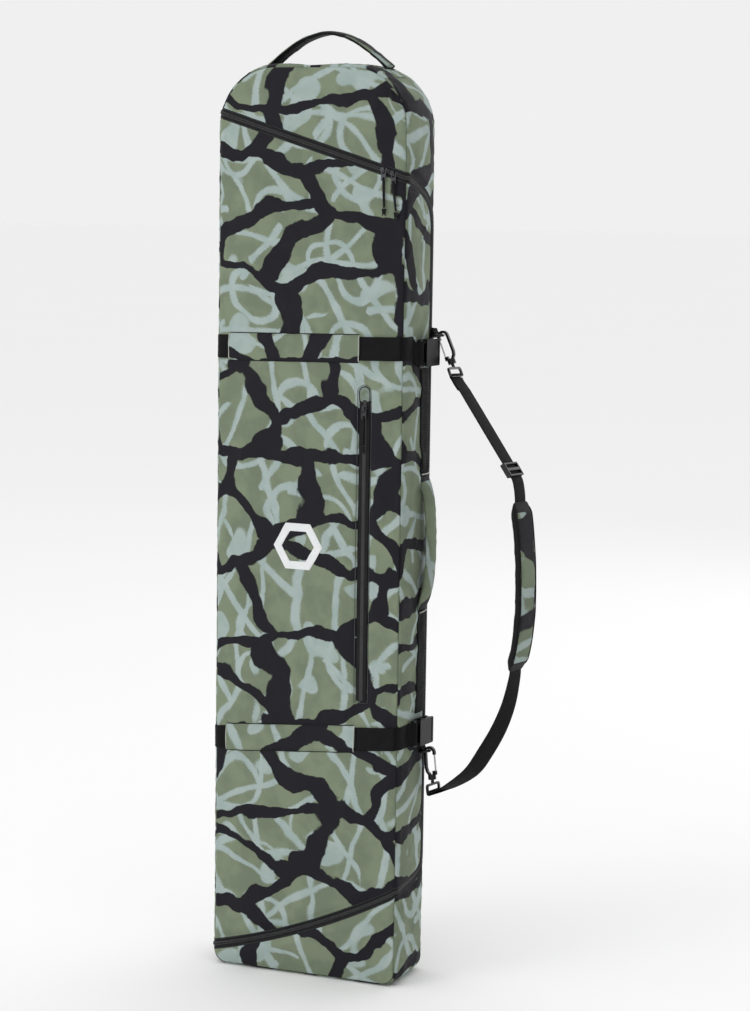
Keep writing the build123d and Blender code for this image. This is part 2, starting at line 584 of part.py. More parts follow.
NBU = near_bar(LOOP_U, UPL)
NBL = near_bar(LOOP_L, (0, 0))
TG_A, TG_B = (145.8, 493.4), (44.5, 631.0)
TG_DIR = unit(TG_A, TG_B)     # straight run that the slide adjuster travels on
up_pts = smooth([(NBU[0] + 1.1, NBU[1] - 3.0), (NBU[0] + 4.0, NBU[1] - 9.0), TG_B], 4) + smooth(
    [TG_A, (151.2, 484.0), (154.8, 470.0), (156.9, 455.0), (158.3, 439.2)], 4)
strap_web_upper = in_sp(ribbon(up_pts, ST), WEB_S / 2)
eye_u = SP * (Pos(NBU[0], NBU[1], 0) * (Cylinder(1.9 + 0.35 + ST, WEB_S) - Box(5.4, 5.4, 60)))
lo_pts = smooth([(161.0, 168.6), (158.4, 142.7), (149.0, 97.5), (131.0, 51.0), (104.0, 3.2), (87.0, -22.0), (66.8, -40.5), (38.0, -60.0), (NBL[0] + 3.2, NBL[1] - 0.6)], 4)
strap_web_lower = in_sp(ribbon(lo_pts, ST), WEB_S / 2)
eye_l = SP * (Pos(NBL[0], NBL[1], 0) * (Cylinder(1.9 + 0.35 + ST, WEB_S) - Box(5.4, 5.4, 60)))
strap_web_upper += eye_u
strap_web_lower += eye_l
hole_u = SP * (Pos(NBU[0], NBU[1], 0) * Box(5.4, 5.4, 60))
hole_l = SP * (Pos(NBL[0], NBL[1], 0) * Box(5.4, 5.4, 60))
strap_web_upper = strap_web_upper - hole_u - swivel_loop_upper
strap_web_lower = strap_web_lower - hole_l - swivel_loop_lower

pad = in_sp(ribbon(pad_line, 13.0), 32.0)
shoulder_pad = pad - in_sp(ribbon([(up_pts[-1][0] - .3, up_pts[-1][1] + 30)] + [up_pts[-1]], ST), WEB_S / 2)

# slide adjuster on the straight run of the upper webbing
tgc = (TG_A[0] + 10.0 * TG_DIR[0], TG_A[1] + 10.0 * TG_DIR[1])
tgo = SP.from_local_coords(Vector(tgc[0], tgc[1], 0))
tgx = SP.from_local_coords(Vector(tgc[0] + TG_DIR[0], tgc[1] + TG_DIR[1], 0)) - tgo
TGP = Plane(origin=tgo, x_dir=tgx, z_dir=NN)       # x along the webbing, z across it
frame_o = TGP * Box(26, 9.0, 50)
frame_i = TGP * Box(40, ST + 1.6, WEB_S + 3.0)
win_a = TGP * (Pos(6.2, 0, 0) * Box(6.5, 20, WEB_S + 3.0))
win_b = TGP * (Pos(-6.2, 0, 0) * Box(6.5, 20, WEB_S + 3.0))
tri_glide = frame_o - frame_i - win_a - win_b
TG_AX = (tgx.X, tgx.Y, tgx.Z)

strap_sleeve_upper -= front_strap_upper
strap_sleeve_lower -= front_strap_lower
zip_tape_lid -= front_panel
zip_tape_tub -= bottom_front_panel
main_knot_a -= main_cord_a
main_knot_b -= main_cord_b
pocket_knot -= pocket_cord

NODES = dict(
    back_panel=back_panel, top_front_panel=top_front_panel, top_gusset=top_gusset,
    bottom_front_panel=bottom_front_panel, bottom_gusset=bottom_gusset, zip_tape_tub=zip_tape_tub,
    back_strap_upper=back_strap_upper, back_strap_lower=back_strap_lower,
    buckle_female_upper=buckle_female_upper, buckle_female_lower=buckle_female_lower,
    ring_tab_upper=ring_tab_upper, ring_tab_lower=ring_tab_lower,
    d_ring_upper=d_ring_upper, d_ring_lower=d_ring_lower,
    top_handle_tab_left=top_handle_tab_left, top_handle_tab_right=top_handle_tab_right,
    front_panel=front_panel, left_gusset=left_gusset, right_gusset=right_gusset, zip_tape_lid=zip_tape_lid,
    front_strap_upper=front_strap_upper, front_strap_lower=front_strap_lower,
    strap_sleeve_upper=strap_sleeve_upper, strap_sleeve_lower=strap_sleeve_lower,
    buckle_male_upper=buckle_male_upper, buckle_male_lower=buckle_male_lower,
    side_handle_web_upper=side_handle_web_upper, side_handle_web_lower=side_handle_web_lower,
    side_handle_grip=side_handle_grip, pocket_welt=pocket_welt, pocket_zip=pocket_zip, pocket_bag=pocket_bag,
    release_arm_upper_a=arm(UP_B, 1), release_arm_upper_b=arm(UP_B, -1),
    release_arm_lower_a=arm(LO_B, 1), release_arm_lower_b=arm(LO_B, -1),
    main_slider_a=main_slider_a, main_slider_b=main_slider_b, pocket_slider=pocket_slider,
    main_pull_a=main_pull_a, main_pull_b=main_pull_b, pocket_pull=pocket_pull,
    main_cord_a=main_cord_a, main_cord_b=main_cord_b, pocket_cord=pocket_cord,
    main_knot_a=main_knot_a, main_knot_b=main_knot_b, pocket_knot=pocket_knot,
    top_handle=top_handle, strap_web_upper=strap_web_upper, strap_web_lower=strap_web_lower,
    shoulder_pad=shoulder_pad, tri_glide=tri_glide,
    swivel_loop_upper=swivel_loop_upper, swivel_loop_lower=swivel_loop_lower,
    hook_upper=hook_upper, hook_lower=hook_lower, gate_upper=gate_upper, gate_lower=gate_lower,
)
for name, shape in NODES.items():
    save(name, shape)

# joint data for the record, printed once per build
print("nodes", len(NODES))
print("zip slope unit", round(math.cos(ZA), 5), round(math.sin(ZA), 5))
print("slider a", round(XA, 2), round(ZA_, 2), "slider b", round(XB, 2), round(ZB_, 2))
print("pull pivot y", round(Y0 - 0.4 - 2.4 - 1.25, 3))
print("strap axis", [round(v, 6) for v in (AXD.X, AXD.Y, AXD.Z)])
for nm, fr, uc, rm, sg in (("upper", HFU, ucu, rmu, -1), ("lower", HFL, ucl, rml, 1)):
    pv = fr.from_local_coords(Vector(28.4, -sg * rm, 0))
    print("hook", nm, "origin", [round(v, 3) for v in (fr.origin.X, fr.origin.Y, fr.origin.Z)],
          "axis", [round(v, 6) for v in (fr.x_dir.X, fr.x_dir.Y, fr.x_dir.Z)], "gate pivot", [round(v, 3) for v in (pv.X, pv.Y, pv.Z)])
print("normal", [round(v, 6) for v in (NN.X, NN.Y, NN.Z)])
print("adjuster axis", [round(v, 6) for v in TG_AX], [round(v, 2) for v in (tgo.X, tgo.Y, tgo.Z)])
for nm, z in (("upper", UP_B), ("lower", LO_B)):
    for s in (1, -1):
        q = bframe(z).from_local_coords(Vector(0.5, s * 15.5, 0))
        print("arm", nm, s, [round(v, 3) for v in (q.X, q.Y, q.Z)])
print("arm axis", [round(v, 6) for v in (bframe(0).z_dir.X, bframe(0).z_dir.Y, bframe(0).z_dir.Z)])
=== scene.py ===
import math
import bpy
import bmesh
import numpy as np
from mathutils import Vector, Matrix


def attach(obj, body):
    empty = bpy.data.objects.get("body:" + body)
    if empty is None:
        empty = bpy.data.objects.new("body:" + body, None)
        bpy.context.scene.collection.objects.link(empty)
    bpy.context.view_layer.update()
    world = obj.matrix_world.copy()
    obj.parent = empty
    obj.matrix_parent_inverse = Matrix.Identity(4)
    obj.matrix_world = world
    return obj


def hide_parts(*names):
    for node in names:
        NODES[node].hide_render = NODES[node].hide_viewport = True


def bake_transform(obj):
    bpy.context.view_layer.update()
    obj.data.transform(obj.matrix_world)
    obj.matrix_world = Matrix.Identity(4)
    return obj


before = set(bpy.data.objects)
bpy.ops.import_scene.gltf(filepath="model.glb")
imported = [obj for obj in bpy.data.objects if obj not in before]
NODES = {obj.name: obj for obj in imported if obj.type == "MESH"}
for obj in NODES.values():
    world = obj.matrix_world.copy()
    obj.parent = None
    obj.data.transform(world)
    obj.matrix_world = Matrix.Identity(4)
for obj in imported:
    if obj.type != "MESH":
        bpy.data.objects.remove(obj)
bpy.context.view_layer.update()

MM = 0.001
C = np.array

# =========================================================== camera, light, floor
PSI, DIST, CAM_H = math.radians(23.567), 4.472, 1.404
TH, RO, FPX = math.radians(7.501), math.radians(0.693), 2589.94
PXC, PYC = 322.46, 511.40
cpos = np.array([math.sin(PSI) * DIST, -math.cos(PSI) * DIST, CAM_H])
cf = np.array([-math.sin(PSI) * math.cos(TH), math.cos(PSI) * math.cos(TH), -math.sin(TH)])
cr = np.array([math.cos(PSI), math.sin(PSI), 0.0])
cu = np.cross(cr, cf)
r2 = cr * math.cos(RO) + cu * math.sin(RO)
u2 = -cr * math.sin(RO) + cu * math.cos(RO)
axis = cf + (375 - PXC) / FPX * r2 - (505.5 - PYC) / FPX * u2
axis /= np.linalg.norm(axis)
rr = r2 - axis * (r2 @ axis)
rr /= np.linalg.norm(rr)
uu = np.cross(rr, axis)
cam_data = bpy.data.cameras.new("camera")
cam = bpy.data.objects.new("camera", cam_data)
bpy.context.scene.collection.objects.link(cam)
cam.matrix_world = Matrix(((rr[0], uu[0], -axis[0], cpos[0]), (rr[1], uu[1], -axis[1], cpos[1]),
                           (rr[2], uu[2], -axis[2], cpos[2]), (0, 0, 0, 1)))
cam_data.sensor_width = 36.0
cam_data.lens = FPX / 1011 * 36.0
cam_data.clip_end = 100
bpy.context.scene.camera = cam
bpy.context.scene.view_settings.view_transform = "Standard"


# ================================================================ node materials
def lin(h):
    v = [int(h[i:i + 2], 16) / 255 for i in (0, 2, 4)]
    return tuple(c / 12.92 if c <= 0.04045 else ((c + 0.055) / 1.055) ** 2.4 for c in v) + (1.0,)


class G:
    """Short hand for building a shader tree."""

    def __init__(s, name):
        s.mat = bpy.data.materials.new(name)
        s.mat.use_nodes = True
        s.t = s.mat.node_tree
        s.t.nodes.clear()
        s.out = s.t.nodes.new("ShaderNodeOutputMaterial")
        s.b = s.t.nodes.new("ShaderNodeBsdfPrincipled")
        s.t.links.new(s.b.outputs[0], s.out.inputs[0])

    def put(s, sock, v):
        if isinstance(v, bpy.types.NodeSocket):
            s.t.links.new(v, sock)
        else:
            sock.default_value = v

    def m(s, op, a, b=0.0, c=0.0, clamp=False):
        n = s.t.nodes.new("ShaderNodeMath")
        n.operation = op
        n.use_clamp = clamp
        for i, v in enumerate((a, b, c)):
            s.put(n.inputs[i], v)
        return n.outputs[0]

    def v(s, op, a, b=(0, 0, 0), scale=None):
        n = s.t.nodes.new("ShaderNodeVectorMath")
        n.operation = op
        s.put(n.inputs[0], a)
        if op == "SCALE":
            s.put(n.inputs["Scale"], scale)
        else:
            s.put(n.inputs[1], b)
        return n.outputs["Value"] if op in ("DOT_PRODUCT", "LENGTH") else n.outputs[0]

    def ss(s, lo, hi, v, a=0.0, b=1.0):
        n = s.t.nodes.new("ShaderNodeMapRange")
        n.interpolation_type = "SMOOTHSTEP"
        for k, x in (("Value", v), ("From Min", lo), ("From Max", hi), ("To Min", a), ("To Max", b)):
            s.put(n.inputs[k], x)
        return n.outputs[0]

    def noise(s, vec, scale, detail=2.0, rough=0.5, dim="3D", color=False):
        n = s.t.nodes.new("ShaderNodeTexNoise")
        n.noise_dimensions = dim
        s.put(n.inputs["Vector"], vec)
        s.put(n.inputs["Scale"], scale)
        s.put(n.inputs["Detail"], detail)
        s.put(n.inputs["Roughness"], rough)
        return n.outputs["Color"] if color else n.outputs[0]

    def voro(s, vec, feature="F1", rnd=1.0, scale=1.0, out="Distance"):
        n = s.t.nodes.new("ShaderNodeTexVoronoi")
        n.voronoi_dimensions = "2D"
        n.feature = feature
        s.put(n.inputs["Vector"], vec)
        s.put(n.inputs["Scale"], scale)
        s.put(n.inputs["Randomness"], rnd)
        return n.outputs[out]

    def mix(s, f, a, b, kind="MIX"):
        n = s.t.nodes.new("ShaderNodeMix")
        n.data_type = "RGBA"
        n.blend_type = kind
        s.put(n.inputs[0], f)
        s.put(n.inputs[6], a)
        s.put(n.inputs[7], b)
        return n.outputs[2]

    def sep(s, v):
        n = s.t.nodes.new("ShaderNodeSeparateXYZ")
        s.put(n.inputs[0], v)
        return n.outputs

    def com(s, x, y, z=0.0):
        n = s.t.nodes.new("ShaderNodeCombineXYZ")
        for i, v in enumerate((x, y, z)):
            s.put(n.inputs[i], v)
        return n.outputs[0]

    def attr(s, name="pat"):
        n = s.t.nodes.new("ShaderNodeAttribute")
        n.attribute_name = name
        return n.outputs["Vector"]

    def obj(s):
        return s.t.nodes.new("ShaderNodeTexCoord").outputs["Object"]

    def bump(s, h, strength=0.3, dist=0.001):
        n = s.t.nodes.new("ShaderNodeBump")
        s.put(n.inputs["Strength"], strength)
        s.put(n.inputs["Distance"], dist)
        s.put(n.inputs["Height"], h)
        s.t.links.new(n.outputs[0], s.b.inputs["Normal"])

    def set(s, **kw):
        names = dict(color="Base Color", rough="Roughness", metal="Metallic", sheen="Sheen Weight", sheenr="Sheen Roughness",
                     spec="Specular IOR Level", coat="Coat Weight", coatr="Coat Roughness", ior="IOR")
        for k, v in kw.items():
            s.put(s.b.inputs[names[k]], v)
        return s


def weave(g, P, pitch=0.0011):
    """Plain weave height from two crossed thread sets."""
    x, y, _ = g.sep(P)
    k = 2 * math.pi / pitch
    a = g.m("SINE", g.m("MULTIPLY", x, k))
    b = g.m("SINE", g.m("MULTIPLY", y, k))
    return g.m("MULTIPLY", a, b)


def mat_print(name, olive=("727d69", "7e8972"), pale=("9fb0ad", "abb9b7"), black="1b1a20"):
    """Printed polyester: a near-black broken network round olive patches with sprayed pale strokes."""
    g = G(name)
    P = g.attr()
    n1 = g.v("SUBTRACT", g.noise(P, 6.5, 1.0, 0.5, "2D", True), (0.5, 0.5, 0.5))
    n2 = g.v("SUBTRACT", g.noise(P, 24.0, 1.0, 0.5, "2D", True), (0.5, 0.5, 0.5))
    n3 = g.v("SUBTRACT", g.noise(P, 95.0, 1.0, 0.5, "2D", True), (0.5, 0.5, 0.5))
    D = g.v("ADD", P, g.v("SCALE", n1, scale=0.072))
    D = g.v("ADD", D, g.v("SCALE", n2, scale=0.021))
    D = g.v("ADD", D, g.v("SCALE", n3, scale=0.0036))
    cell = g.v("MULTIPLY", D, (1 / 0.178, 1 / 0.104, 0))
    edge_d = g.voro(cell, "DISTANCE_TO_EDGE", 0.82)
    rnd = g.sep(g.voro(cell, "F1", 0.82, out="Color"))
    thr = g.m("MULTIPLY_ADD", g.noise(P, 12.0, 1.0, 0.5, "2D"), 0.15, 0.022)
    field = g.ss(g.m("SUBTRACT", thr, 0.008), g.m("ADD", thr, 0.008), edge_d)
    # strokes: every patch has its own direction
    rot = g.t.nodes.new("ShaderNodeVectorRotate")
    rot.rotation_type = "Z_AXIS"
    g.put(rot.inputs["Vector"], g.v("ADD", g.v("ADD", P, g.v("SCALE", n1, scale=0.05)), g.v("SCALE", n2, scale=0.010)))
    g.put(rot.inputs["Angle"], g.m("MULTIPLY", rnd[0], 6.2))
    Q = g.v("ADD", rot.outputs[0], g.com(g.m("MULTIPLY", rnd[1], 3.0), g.m("MULTIPLY", rnd[2], 3.0)))
    qx, qy, _ = g.sep(Q)
    la = g.m("PINGPONG", qx, 0.034)
    q2 = g.m("ADD", g.m("MULTIPLY", qx, 0.55), g.m("MULTIPLY", qy, 0.835))
    lb = g.m("ADD", g.m("PINGPONG", q2, 0.043), g.ss(0.46, 0.56, g.noise(Q, 9.0, 0.0, 0.5, "2D"), 0.0, 0.03))
    q3 = g.m("ADD", g.m("MULTIPLY", qx, -0.8), g.m("MULTIPLY", qy, 0.6))
    lc = g.m("ADD", g.m("PINGPONG", q3, 0.06), g.ss(0.50, 0.58, g.noise(Q, 6.0, 0.0, 0.5, "2D"), 0.0, 0.03))
    ring = g.m("ABSOLUTE", g.m("SUBTRACT", g.voro(Q, "F1", 0.7, 7.0), 0.30))
    ring = g.m("ADD", g.m("DIVIDE", ring, 7.0), g.ss(0.45, 0.55, rnd[1], 0.0, 0.03))
    near = g.m("MINIMUM", g.m("MINIMUM", la, lb), g.m("MINIMUM", lc, ring))
    fuzz = g.m("MULTIPLY", g.m("SUBTRACT", g.noise(P, 430.0, 3.0, 0.7, "2D"), 0.5), 0.0085)
    wid = g.m("MULTIPLY_ADD", g.noise(P, 15.0, 1.0, 0.5, "2D"), 0.0064, 0.0024)
    line = g.ss(g.m("SUBTRACT", wid, 0.0017), g.m("ADD", wid, 0.0017), g.m("ADD", near, fuzz), 1.0, 0.0)
    wide = g.ss(0.655, 0.685, g.m("ADD", g.noise(g.v("ADD", P, (3.3, 7.1, 0)), 11.0, 1.0, 0.5, "2D"), g.m("MULTIPLY", fuzz, 6.0)))
    pale_m = g.m("MAXIMUM", g.m("MULTIPLY", line, 0.92), g.m("MULTIPLY", wide, 0.85))
    base = g.mix(g.ss(0.35, 0.65, g.noise(P, 16.0, 3.0, 0.6, "2D")), lin(olive[0]), lin(olive[1]))
    pl = g.mix(g.ss(0.3, 0.7, g.noise(P, 30.0, 3.0, 0.6, "2D")), lin(pale[0]), lin(pale[1]))
    col = g.mix(pale_m, base, pl)
    # the near-black network round the patches, blended softly into the patch colour
    col = g.mix(field, lin(black), col)
    w = weave(g, P, 0.0012)
    col = g.mix(g.m("MULTIPLY_ADD", w, 0.035, 0.035), col, (0.02, 0.02, 0.022, 1))
    g.set(color=col, rough=g.m("MULTIPLY_ADD", g.noise(P, 60.0, 2.0), 0.14, 0.62), sheen=0.02, sheenr=0.45, spec=0.16)
    h = g.m("ADD", g.m("MULTIPLY", w, 0.5), g.m("MULTIPLY", g.noise(P, 700.0, 2.0), 0.8))
    g.bump(h, 0.22, 0.0004)
    return g.mat


def mat_cloth(name, col, col2, rough=0.8, pitch=0.0013, sheen=0.05, bs=0.3, use="pat", spec=0.2):
    g = G(name)
    P = g.attr() if use == "pat" else g.obj()
    w = weave(g, P, pitch)
    c = g.mix(g.ss(0.3, 0.7, g.noise(P, 40.0, 4.0, 0.6)), lin(col), lin(col2))
    c = g.mix(g.m("MULTIPLY_ADD", w, 0.12, 0.12), c, (0.004, 0.004, 0.004, 1))
    g.set(color=c, rough=g.m("MULTIPLY_ADD", g.noise(P, 90.0, 3.0), 0.16, rough - 0.08), sheen=sheen, sheenr=0.4, spec=spec)
    g.bump(g.m("ADD", g.m("MULTIPLY", w, 0.6), g.noise(P, 900.0, 2.0)), bs, 0.0004)
    return g.mat


def mat_web(name, col="0b0b0c", col2="171719", pitch=0.0024):
    """Ribbed webbing: pat.x runs along, pat.y across."""
    g = G(name)
    P = g.attr()
    x, y, _ = g.sep(P)
    chev = g.m("ADD", x, g.m("PINGPONG", y, 0.0031))
    rib = g.m("SINE", g.m("MULTIPLY", chev, 2 * math.pi / pitch))
    across = g.m("SINE", g.m("MULTIPLY", y, 2 * math.pi / 0.0016))
    c = g.mix(g.ss(-0.6, 0.9, rib), lin(col), lin(col2))
    c = g.mix(g.m("MULTIPLY", g.ss(0.35, 0.75, g.noise(P, 55.0, 4.0, 0.6)), 0.25), c, lin("1f1f22"))
    g.set(color=c, rough=g.m("MULTIPLY_ADD", g.noise(P, 200.0, 2.0), 0.18, 0.62), sheen=0.0, sheenr=0.4, spec=0.12)
    g.bump(g.m("ADD", g.m("MULTIPLY", rib, 0.8), g.m("MULTIPLY", across, 0.25)), 0.5, 0.0005)
    return g.mat


def mat_hard(name, col, col2, rough=0.42, metal=0.0, grain=900.0, bs=0.08, coat=0.0, scratch=0.0, worn="55555a", spec=0.5):
    g = G(name)
    P = g.obj()
    n = g.noise(P, 55.0, 4.0, 0.6)
    c = g.mix(g.ss(0.3, 0.7, n), lin(col), lin(col2))
    if scratch:
        s = g.noise(g.v("MULTIPLY", P, (1.0, 1.0, 6.0)), 240.0, 3.0, 0.7)
        c = g.mix(g.m("MULTIPLY", g.ss(0.62, 0.72, s), scratch), c, lin(worn))
    g.set(color=c, rough=g.m("MULTIPLY_ADD", g.noise(P, 120.0, 3.0), 0.22, rough - 0.11), metal=metal, coat=coat, coatr=0.2, spec=spec)
    g.bump(g.noise(P, grain, 3.0, 0.6), bs, 0.0003)
    return g.mat


M_PRINT = mat_print("print_fabric")
M_PRINT_DK = mat_print("print_fabric_small", olive=("6a7561", "76816b"), pale=("93a4a0", "a0aeab"), black="18171c")
M_LINING = mat_cloth("lining", "1e1f22", "2a2b2f", 0.75, 0.0016)
M_TAPE = mat_cloth("zip_tape", "101012", "1a1a1d", 0.72, 0.0010, spec=0.25)
M_EDGE = mat_cloth("black_binding", "0f0f11", "18181b", 0.7, 0.0011)
M_MESH = mat_cloth("pad_mesh", "101012", "1c1c1f", 0.85, 0.0026, bs=0.6)
M_COIL = mat_hard("zip_coil", "1b1b1d", "252527", 0.5)
M_WEB = mat_web("webbing")
M_WEB_C = mat_web("webbing_coarse", "060607", "1c1c1f", pitch=0.0048)
M_ACETAL = mat_hard("acetal", "070708", "0f0f11", 0.34, bs=0.05, spec=0.28)
M_METAL = mat_hard("black_metal", "101012", "1b1b1e", 0.34, metal=0.5, coat=0.3, scratch=0.5)
M_SLIDER = mat_hard("slider_metal", "26262a", "3c3c40", 0.27, metal=0.9, coat=0.4)
M_WIRE = mat_hard("gate_wire", "c4c5c7", "dedfe1", 0.28, metal=1.0, grain=400.0, bs=0.03)
M_CORD = mat_cloth("pull_cord", "121214", "232326", 0.8, 0.0011, use="obj", bs=0.6)
M_THREAD = mat_cloth("thread_light", "b9bdb2", "d2d5cb", 0.8, 0.0006, use="obj")
M_THREAD_DK = mat_cloth("thread_dark", "4c4f50", "626566", 0.7, 0.0006, use="obj")
M_GARAGE = mat_cloth("garage_print", "6d7863", "93a49f", 0.7, 0.0012, sheen=0.0, bs=0.15, spec=0.16)
M_MARK = mat_cloth("white_print", "eceff0", "f4f6f6", 0.6, 0.0012, sheen=0.0, bs=0.12)


# ============================================================== mesh construction
def ornt(me, flip=None):
    bm = bmesh.new()
    bm.from_mesh(me)
    bmesh.ops.recalc_face_normals(bm, faces=bm.faces)
    bm.to_mesh(me)
    bm.free()


def mk(name, V, F, mats, body=None, mi=None, pat=None, rep=(), smooth=True, orient=True, angle=None):
    me = bpy.data.meshes.new(name)
    V = np.asarray(V, float).reshape(-1, 3)
    me.from_pydata((V * MM).tolist(), [], [tuple(int(i) for i in f) for f in F])
    for m in mats:
        me.materials.append(m)
    if mi is not None:
        me.polygons.foreach_set("material_index", np.asarray(mi, np.int32))
    if pat is None:
        pat = V * MM
    a = me.attributes.new("pat", "FLOAT_VECTOR", "POINT")
    a.data.foreach_set("vector", np.asarray(pat, np.float32).reshape(-1))
    if orient:
        ornt(me)
    me.polygons.foreach_set("use_smooth", [bool(smooth)] * len(me.polygons))
    me.update()
    if smooth and angle:
        me.set_sharp_from_angle(angle=math.radians(angle))
    o = bpy.data.objects.new(name, me)
    bpy.context.scene.collection.objects.link(o)
    if body:
        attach(o, body)
    if rep:
        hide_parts(*rep)
    return o


def gridf(nu, nv, base=0, flip=False):
    i = np.arange(nu - 1)[:, None] * nv + np.arange(nv - 1)[None, :] + base
    q = np.stack([i, i + nv, i + nv + 1, i + 1], -1).reshape(-1, 4)
    return q[:, ::-1] if flip else q


def slab(name, top, bot, mats, body, pat, rep=(), side=0):
    """Closed sheet from two matching grids; mats are [outer, inner]; side is the material of the cut edges."""
    nu, nv = top.shape[:2]
    n = nu * nv
    V = np.concatenate([top.reshape(-1, 3), bot.reshape(-1, 3)])
    F = [gridf(nu, nv), gridf(nu, nv, n, True)]
    idx = np.arange(n).reshape(nu, nv)
    loop = np.concatenate([idx[:, 0], idx[-1, 1:], idx[-2::-1, -1], idx[0, -2:0:-1]])
    nx = np.roll(loop, -1)
    F.append(np.stack([loop, nx, nx + n, loop + n], -1))
    mi = np.concatenate([np.zeros(len(F[0])), np.ones(len(F[1])) * (len(mats) > 1), np.full(len(F[2]), side)])
    p = np.concatenate([pat.reshape(-1, 3)] * 2)
    return mk(name, V, np.concatenate(F), mats, body, mi, p, rep)


def sweep(name, Cn, A, B, sec, mats, body, rep=(), mi=None, patw=None, poff=(0, 0), angle=None, closed_caps=True):
    """Tube of any section along a line. Cn centres, A lateral, B outward; sec (m,2) or (n,m,2)."""
    Cn, A, B, sec = (np.asarray(v, float) for v in (Cn, A, B, sec))
    n = len(Cn)
    if sec.ndim == 2:
        sec = np.broadcast_to(sec, (n,) + sec.shape)
    m = sec.shape[1]
    V = Cn[:, None] + A[:, None] * sec[..., 0:1] + B[:, None] * sec[..., 1:2]
    i = np.arange(n - 1)[:, None] * m + np.arange(m)[None]
    j = np.arange(n - 1)[:, None] * m + (np.arange(m)[None] + 1) % m
    F = np.stack([i, j, j + m, i + m], -1).reshape(-1, 4).tolist()
    s = np.concatenate([[0], np.cumsum(np.linalg.norm(np.diff(Cn, axis=0), axis=1))])
    pat = np.zeros((n, m, 3))
    pat[..., 0] = s[:, None] * MM + poff[0]
    pat[..., 1] = (sec[..., 0] if patw is None else patw) * MM + poff[1]
    V = V.reshape(-1, 3)
    pat = pat.reshape(-1, 3)
    mats_i = list(mi) * (n - 1) if mi is not None else None
    if closed_caps:
        V = np.concatenate([V, [V[:m].mean(0)], [V[(n - 1) * m:n * m].mean(0)]])
        pat = np.concatenate([pat, [pat[:m].mean(0)], [pat[(n - 1) * m:].mean(0)]])
        a, b = n * m, n * m + 1
        for k in range(m):
            F.append((k, (k + 1) % m, a))
            F.append(((n - 1) * m + k, (n - 1) * m + (k + 1) % m, b))
            if mats_i is not None:
                mats_i += [mi[k], mi[k]]
    return mk(name, V, F, mats, body, mats_i, pat, rep, angle=angle)


def unitv(a):
    return a / (np.linalg.norm(a, axis=-1, keepdims=True) + 1e-12)


def frames(P, up=(0, 0, 1)):
    """Parallel transport frame along a line."""
    P = np.asarray(P, float)
    T = unitv(np.gradient(P, axis=0))
    a = np.cross(T[0], np.asarray(up, float))
    if np.linalg.norm(a) < 0.1:
        a = np.cross(T[0], (1.0, 0.2, 0))
    a /= np.linalg.norm(a)
    A = [a]
    for i in range(1, len(P)):
        a = a - T[i] * (a @ T[i])
        a /= np.linalg.norm(a)
        A.append(a)
    A = np.array(A)
    return A, np.cross(T, A)


def circ(n, r=1.0):
    t = np.arange(n) * 2 * math.pi / n
    return np.stack([np.cos(t) * r, np.sin(t) * r], -1)


def tube(name, P, r, mats, body, n=10, rep=(), taper=None):
    A, B = frames(P)
    sec = np.broadcast_to(circ(n), (len(P), n, 2)) * (np.asarray(r if taper is None else r * taper).reshape(-1, 1, 1) if taper is not None else r)
    return sweep(name, P, A, B, sec, mats, body, rep)


def rrect(hw, ht, r, k=3, flat=1):
    """Rounded bar section, centred, half width hw, half thickness ht; starts on the +B face."""
    r = min(r, ht - 1e-3, hw - 1e-3)
    pts = []
    for cx, cy, a0 in ((hw - r, ht - r, 0), (-(hw - r), ht - r, 90), (-(hw - r), -(ht - r), 180), (hw - r, -(ht - r), 270)):
        for i in range(k + 1):
            a = math.radians(a0 + 90 * i / k)
            pts.append((cx + r * math.cos(a), cy + r * math.sin(a)))
    return np.array(pts)


def catmull(pts, n=8):
    pts = np.asarray(pts, float)
    out = []
    m = len(pts)
    for i in range(m - 1):
        p0, p1, p2, p3 = pts[max(i - 1, 0)], pts[i], pts[i + 1], pts[min(i + 2, m - 1)]
        for k in range(n):
            t = k / n
            out.append(0.5 * ((2 * p1) + (-p0 + p2) * t + (2 * p0 - 5 * p1 + 4 * p2 - p3) * t * t + (-p0 + 3 * p1 - 3 * p2 + p3) * t ** 3))
    out.append(pts[-1])
    return np.array(out)


def resample(P, step=None, n=None):
    P = np.asarray(P, float)
    s = np.concatenate([[0], np.cumsum(np.linalg.norm(np.diff(P, axis=0), axis=1))])
    n = n or max(3, int(round(s[-1] / step)) + 1)
    t = np.linspace(0, s[-1], n)
    return np.stack([np.interp(t, s, P[:, k]) for k in range(P.shape[1])], -1)


def vn(x, y, seed=0):
    """Smooth value noise, -1..1."""
    x, y = np.broadcast_arrays(np.asarray(x, float), np.asarray(y, float))
    xi, yi = np.floor(x).astype(np.int64), np.floor(y).astype(np.int64)
    xf, yf = x - xi, y - yi
    u, w = xf ** 3 * (xf * (xf * 6 - 15) + 10), yf ** 3 * (yf * (yf * 6 - 15) + 10)

    def h(i, j):
        k = (i * 374761393 + j * 668265263 + seed * 974634777) & 0xffffffff
        k = ((k ^ (k >> 13)) * 1274126177) & 0xffffffff
        k = ((k ^ (k >> 15)) * 2246822519) & 0xffffffff
        return (k ^ (k >> 16)) / 4294967295.0 * 2 - 1

    a, b, c, d = h(xi, yi), h(xi + 1, yi), h(xi, yi + 1), h(xi + 1, yi + 1)
    return (a * (1 - u) + b * u) * (1 - w) + (c * (1 - u) + d * u) * w


def sst(a, b, x):
    t = np.clip((x - a) / (b - a), 0, 1)
    return t * t * (3 - 2 * t)


# ====================================================================== the shell
X1, Y1, H, RT, RB, RF = 175.0, 65.0, 1580.0, 105.0, 25.0, 11.0
ZB = 6.0
ZTL, ZTR = 1500.8, 1393.0


def z_top(x):
    return ZTL + (ZTR - ZTL) * (x + X1) / 350


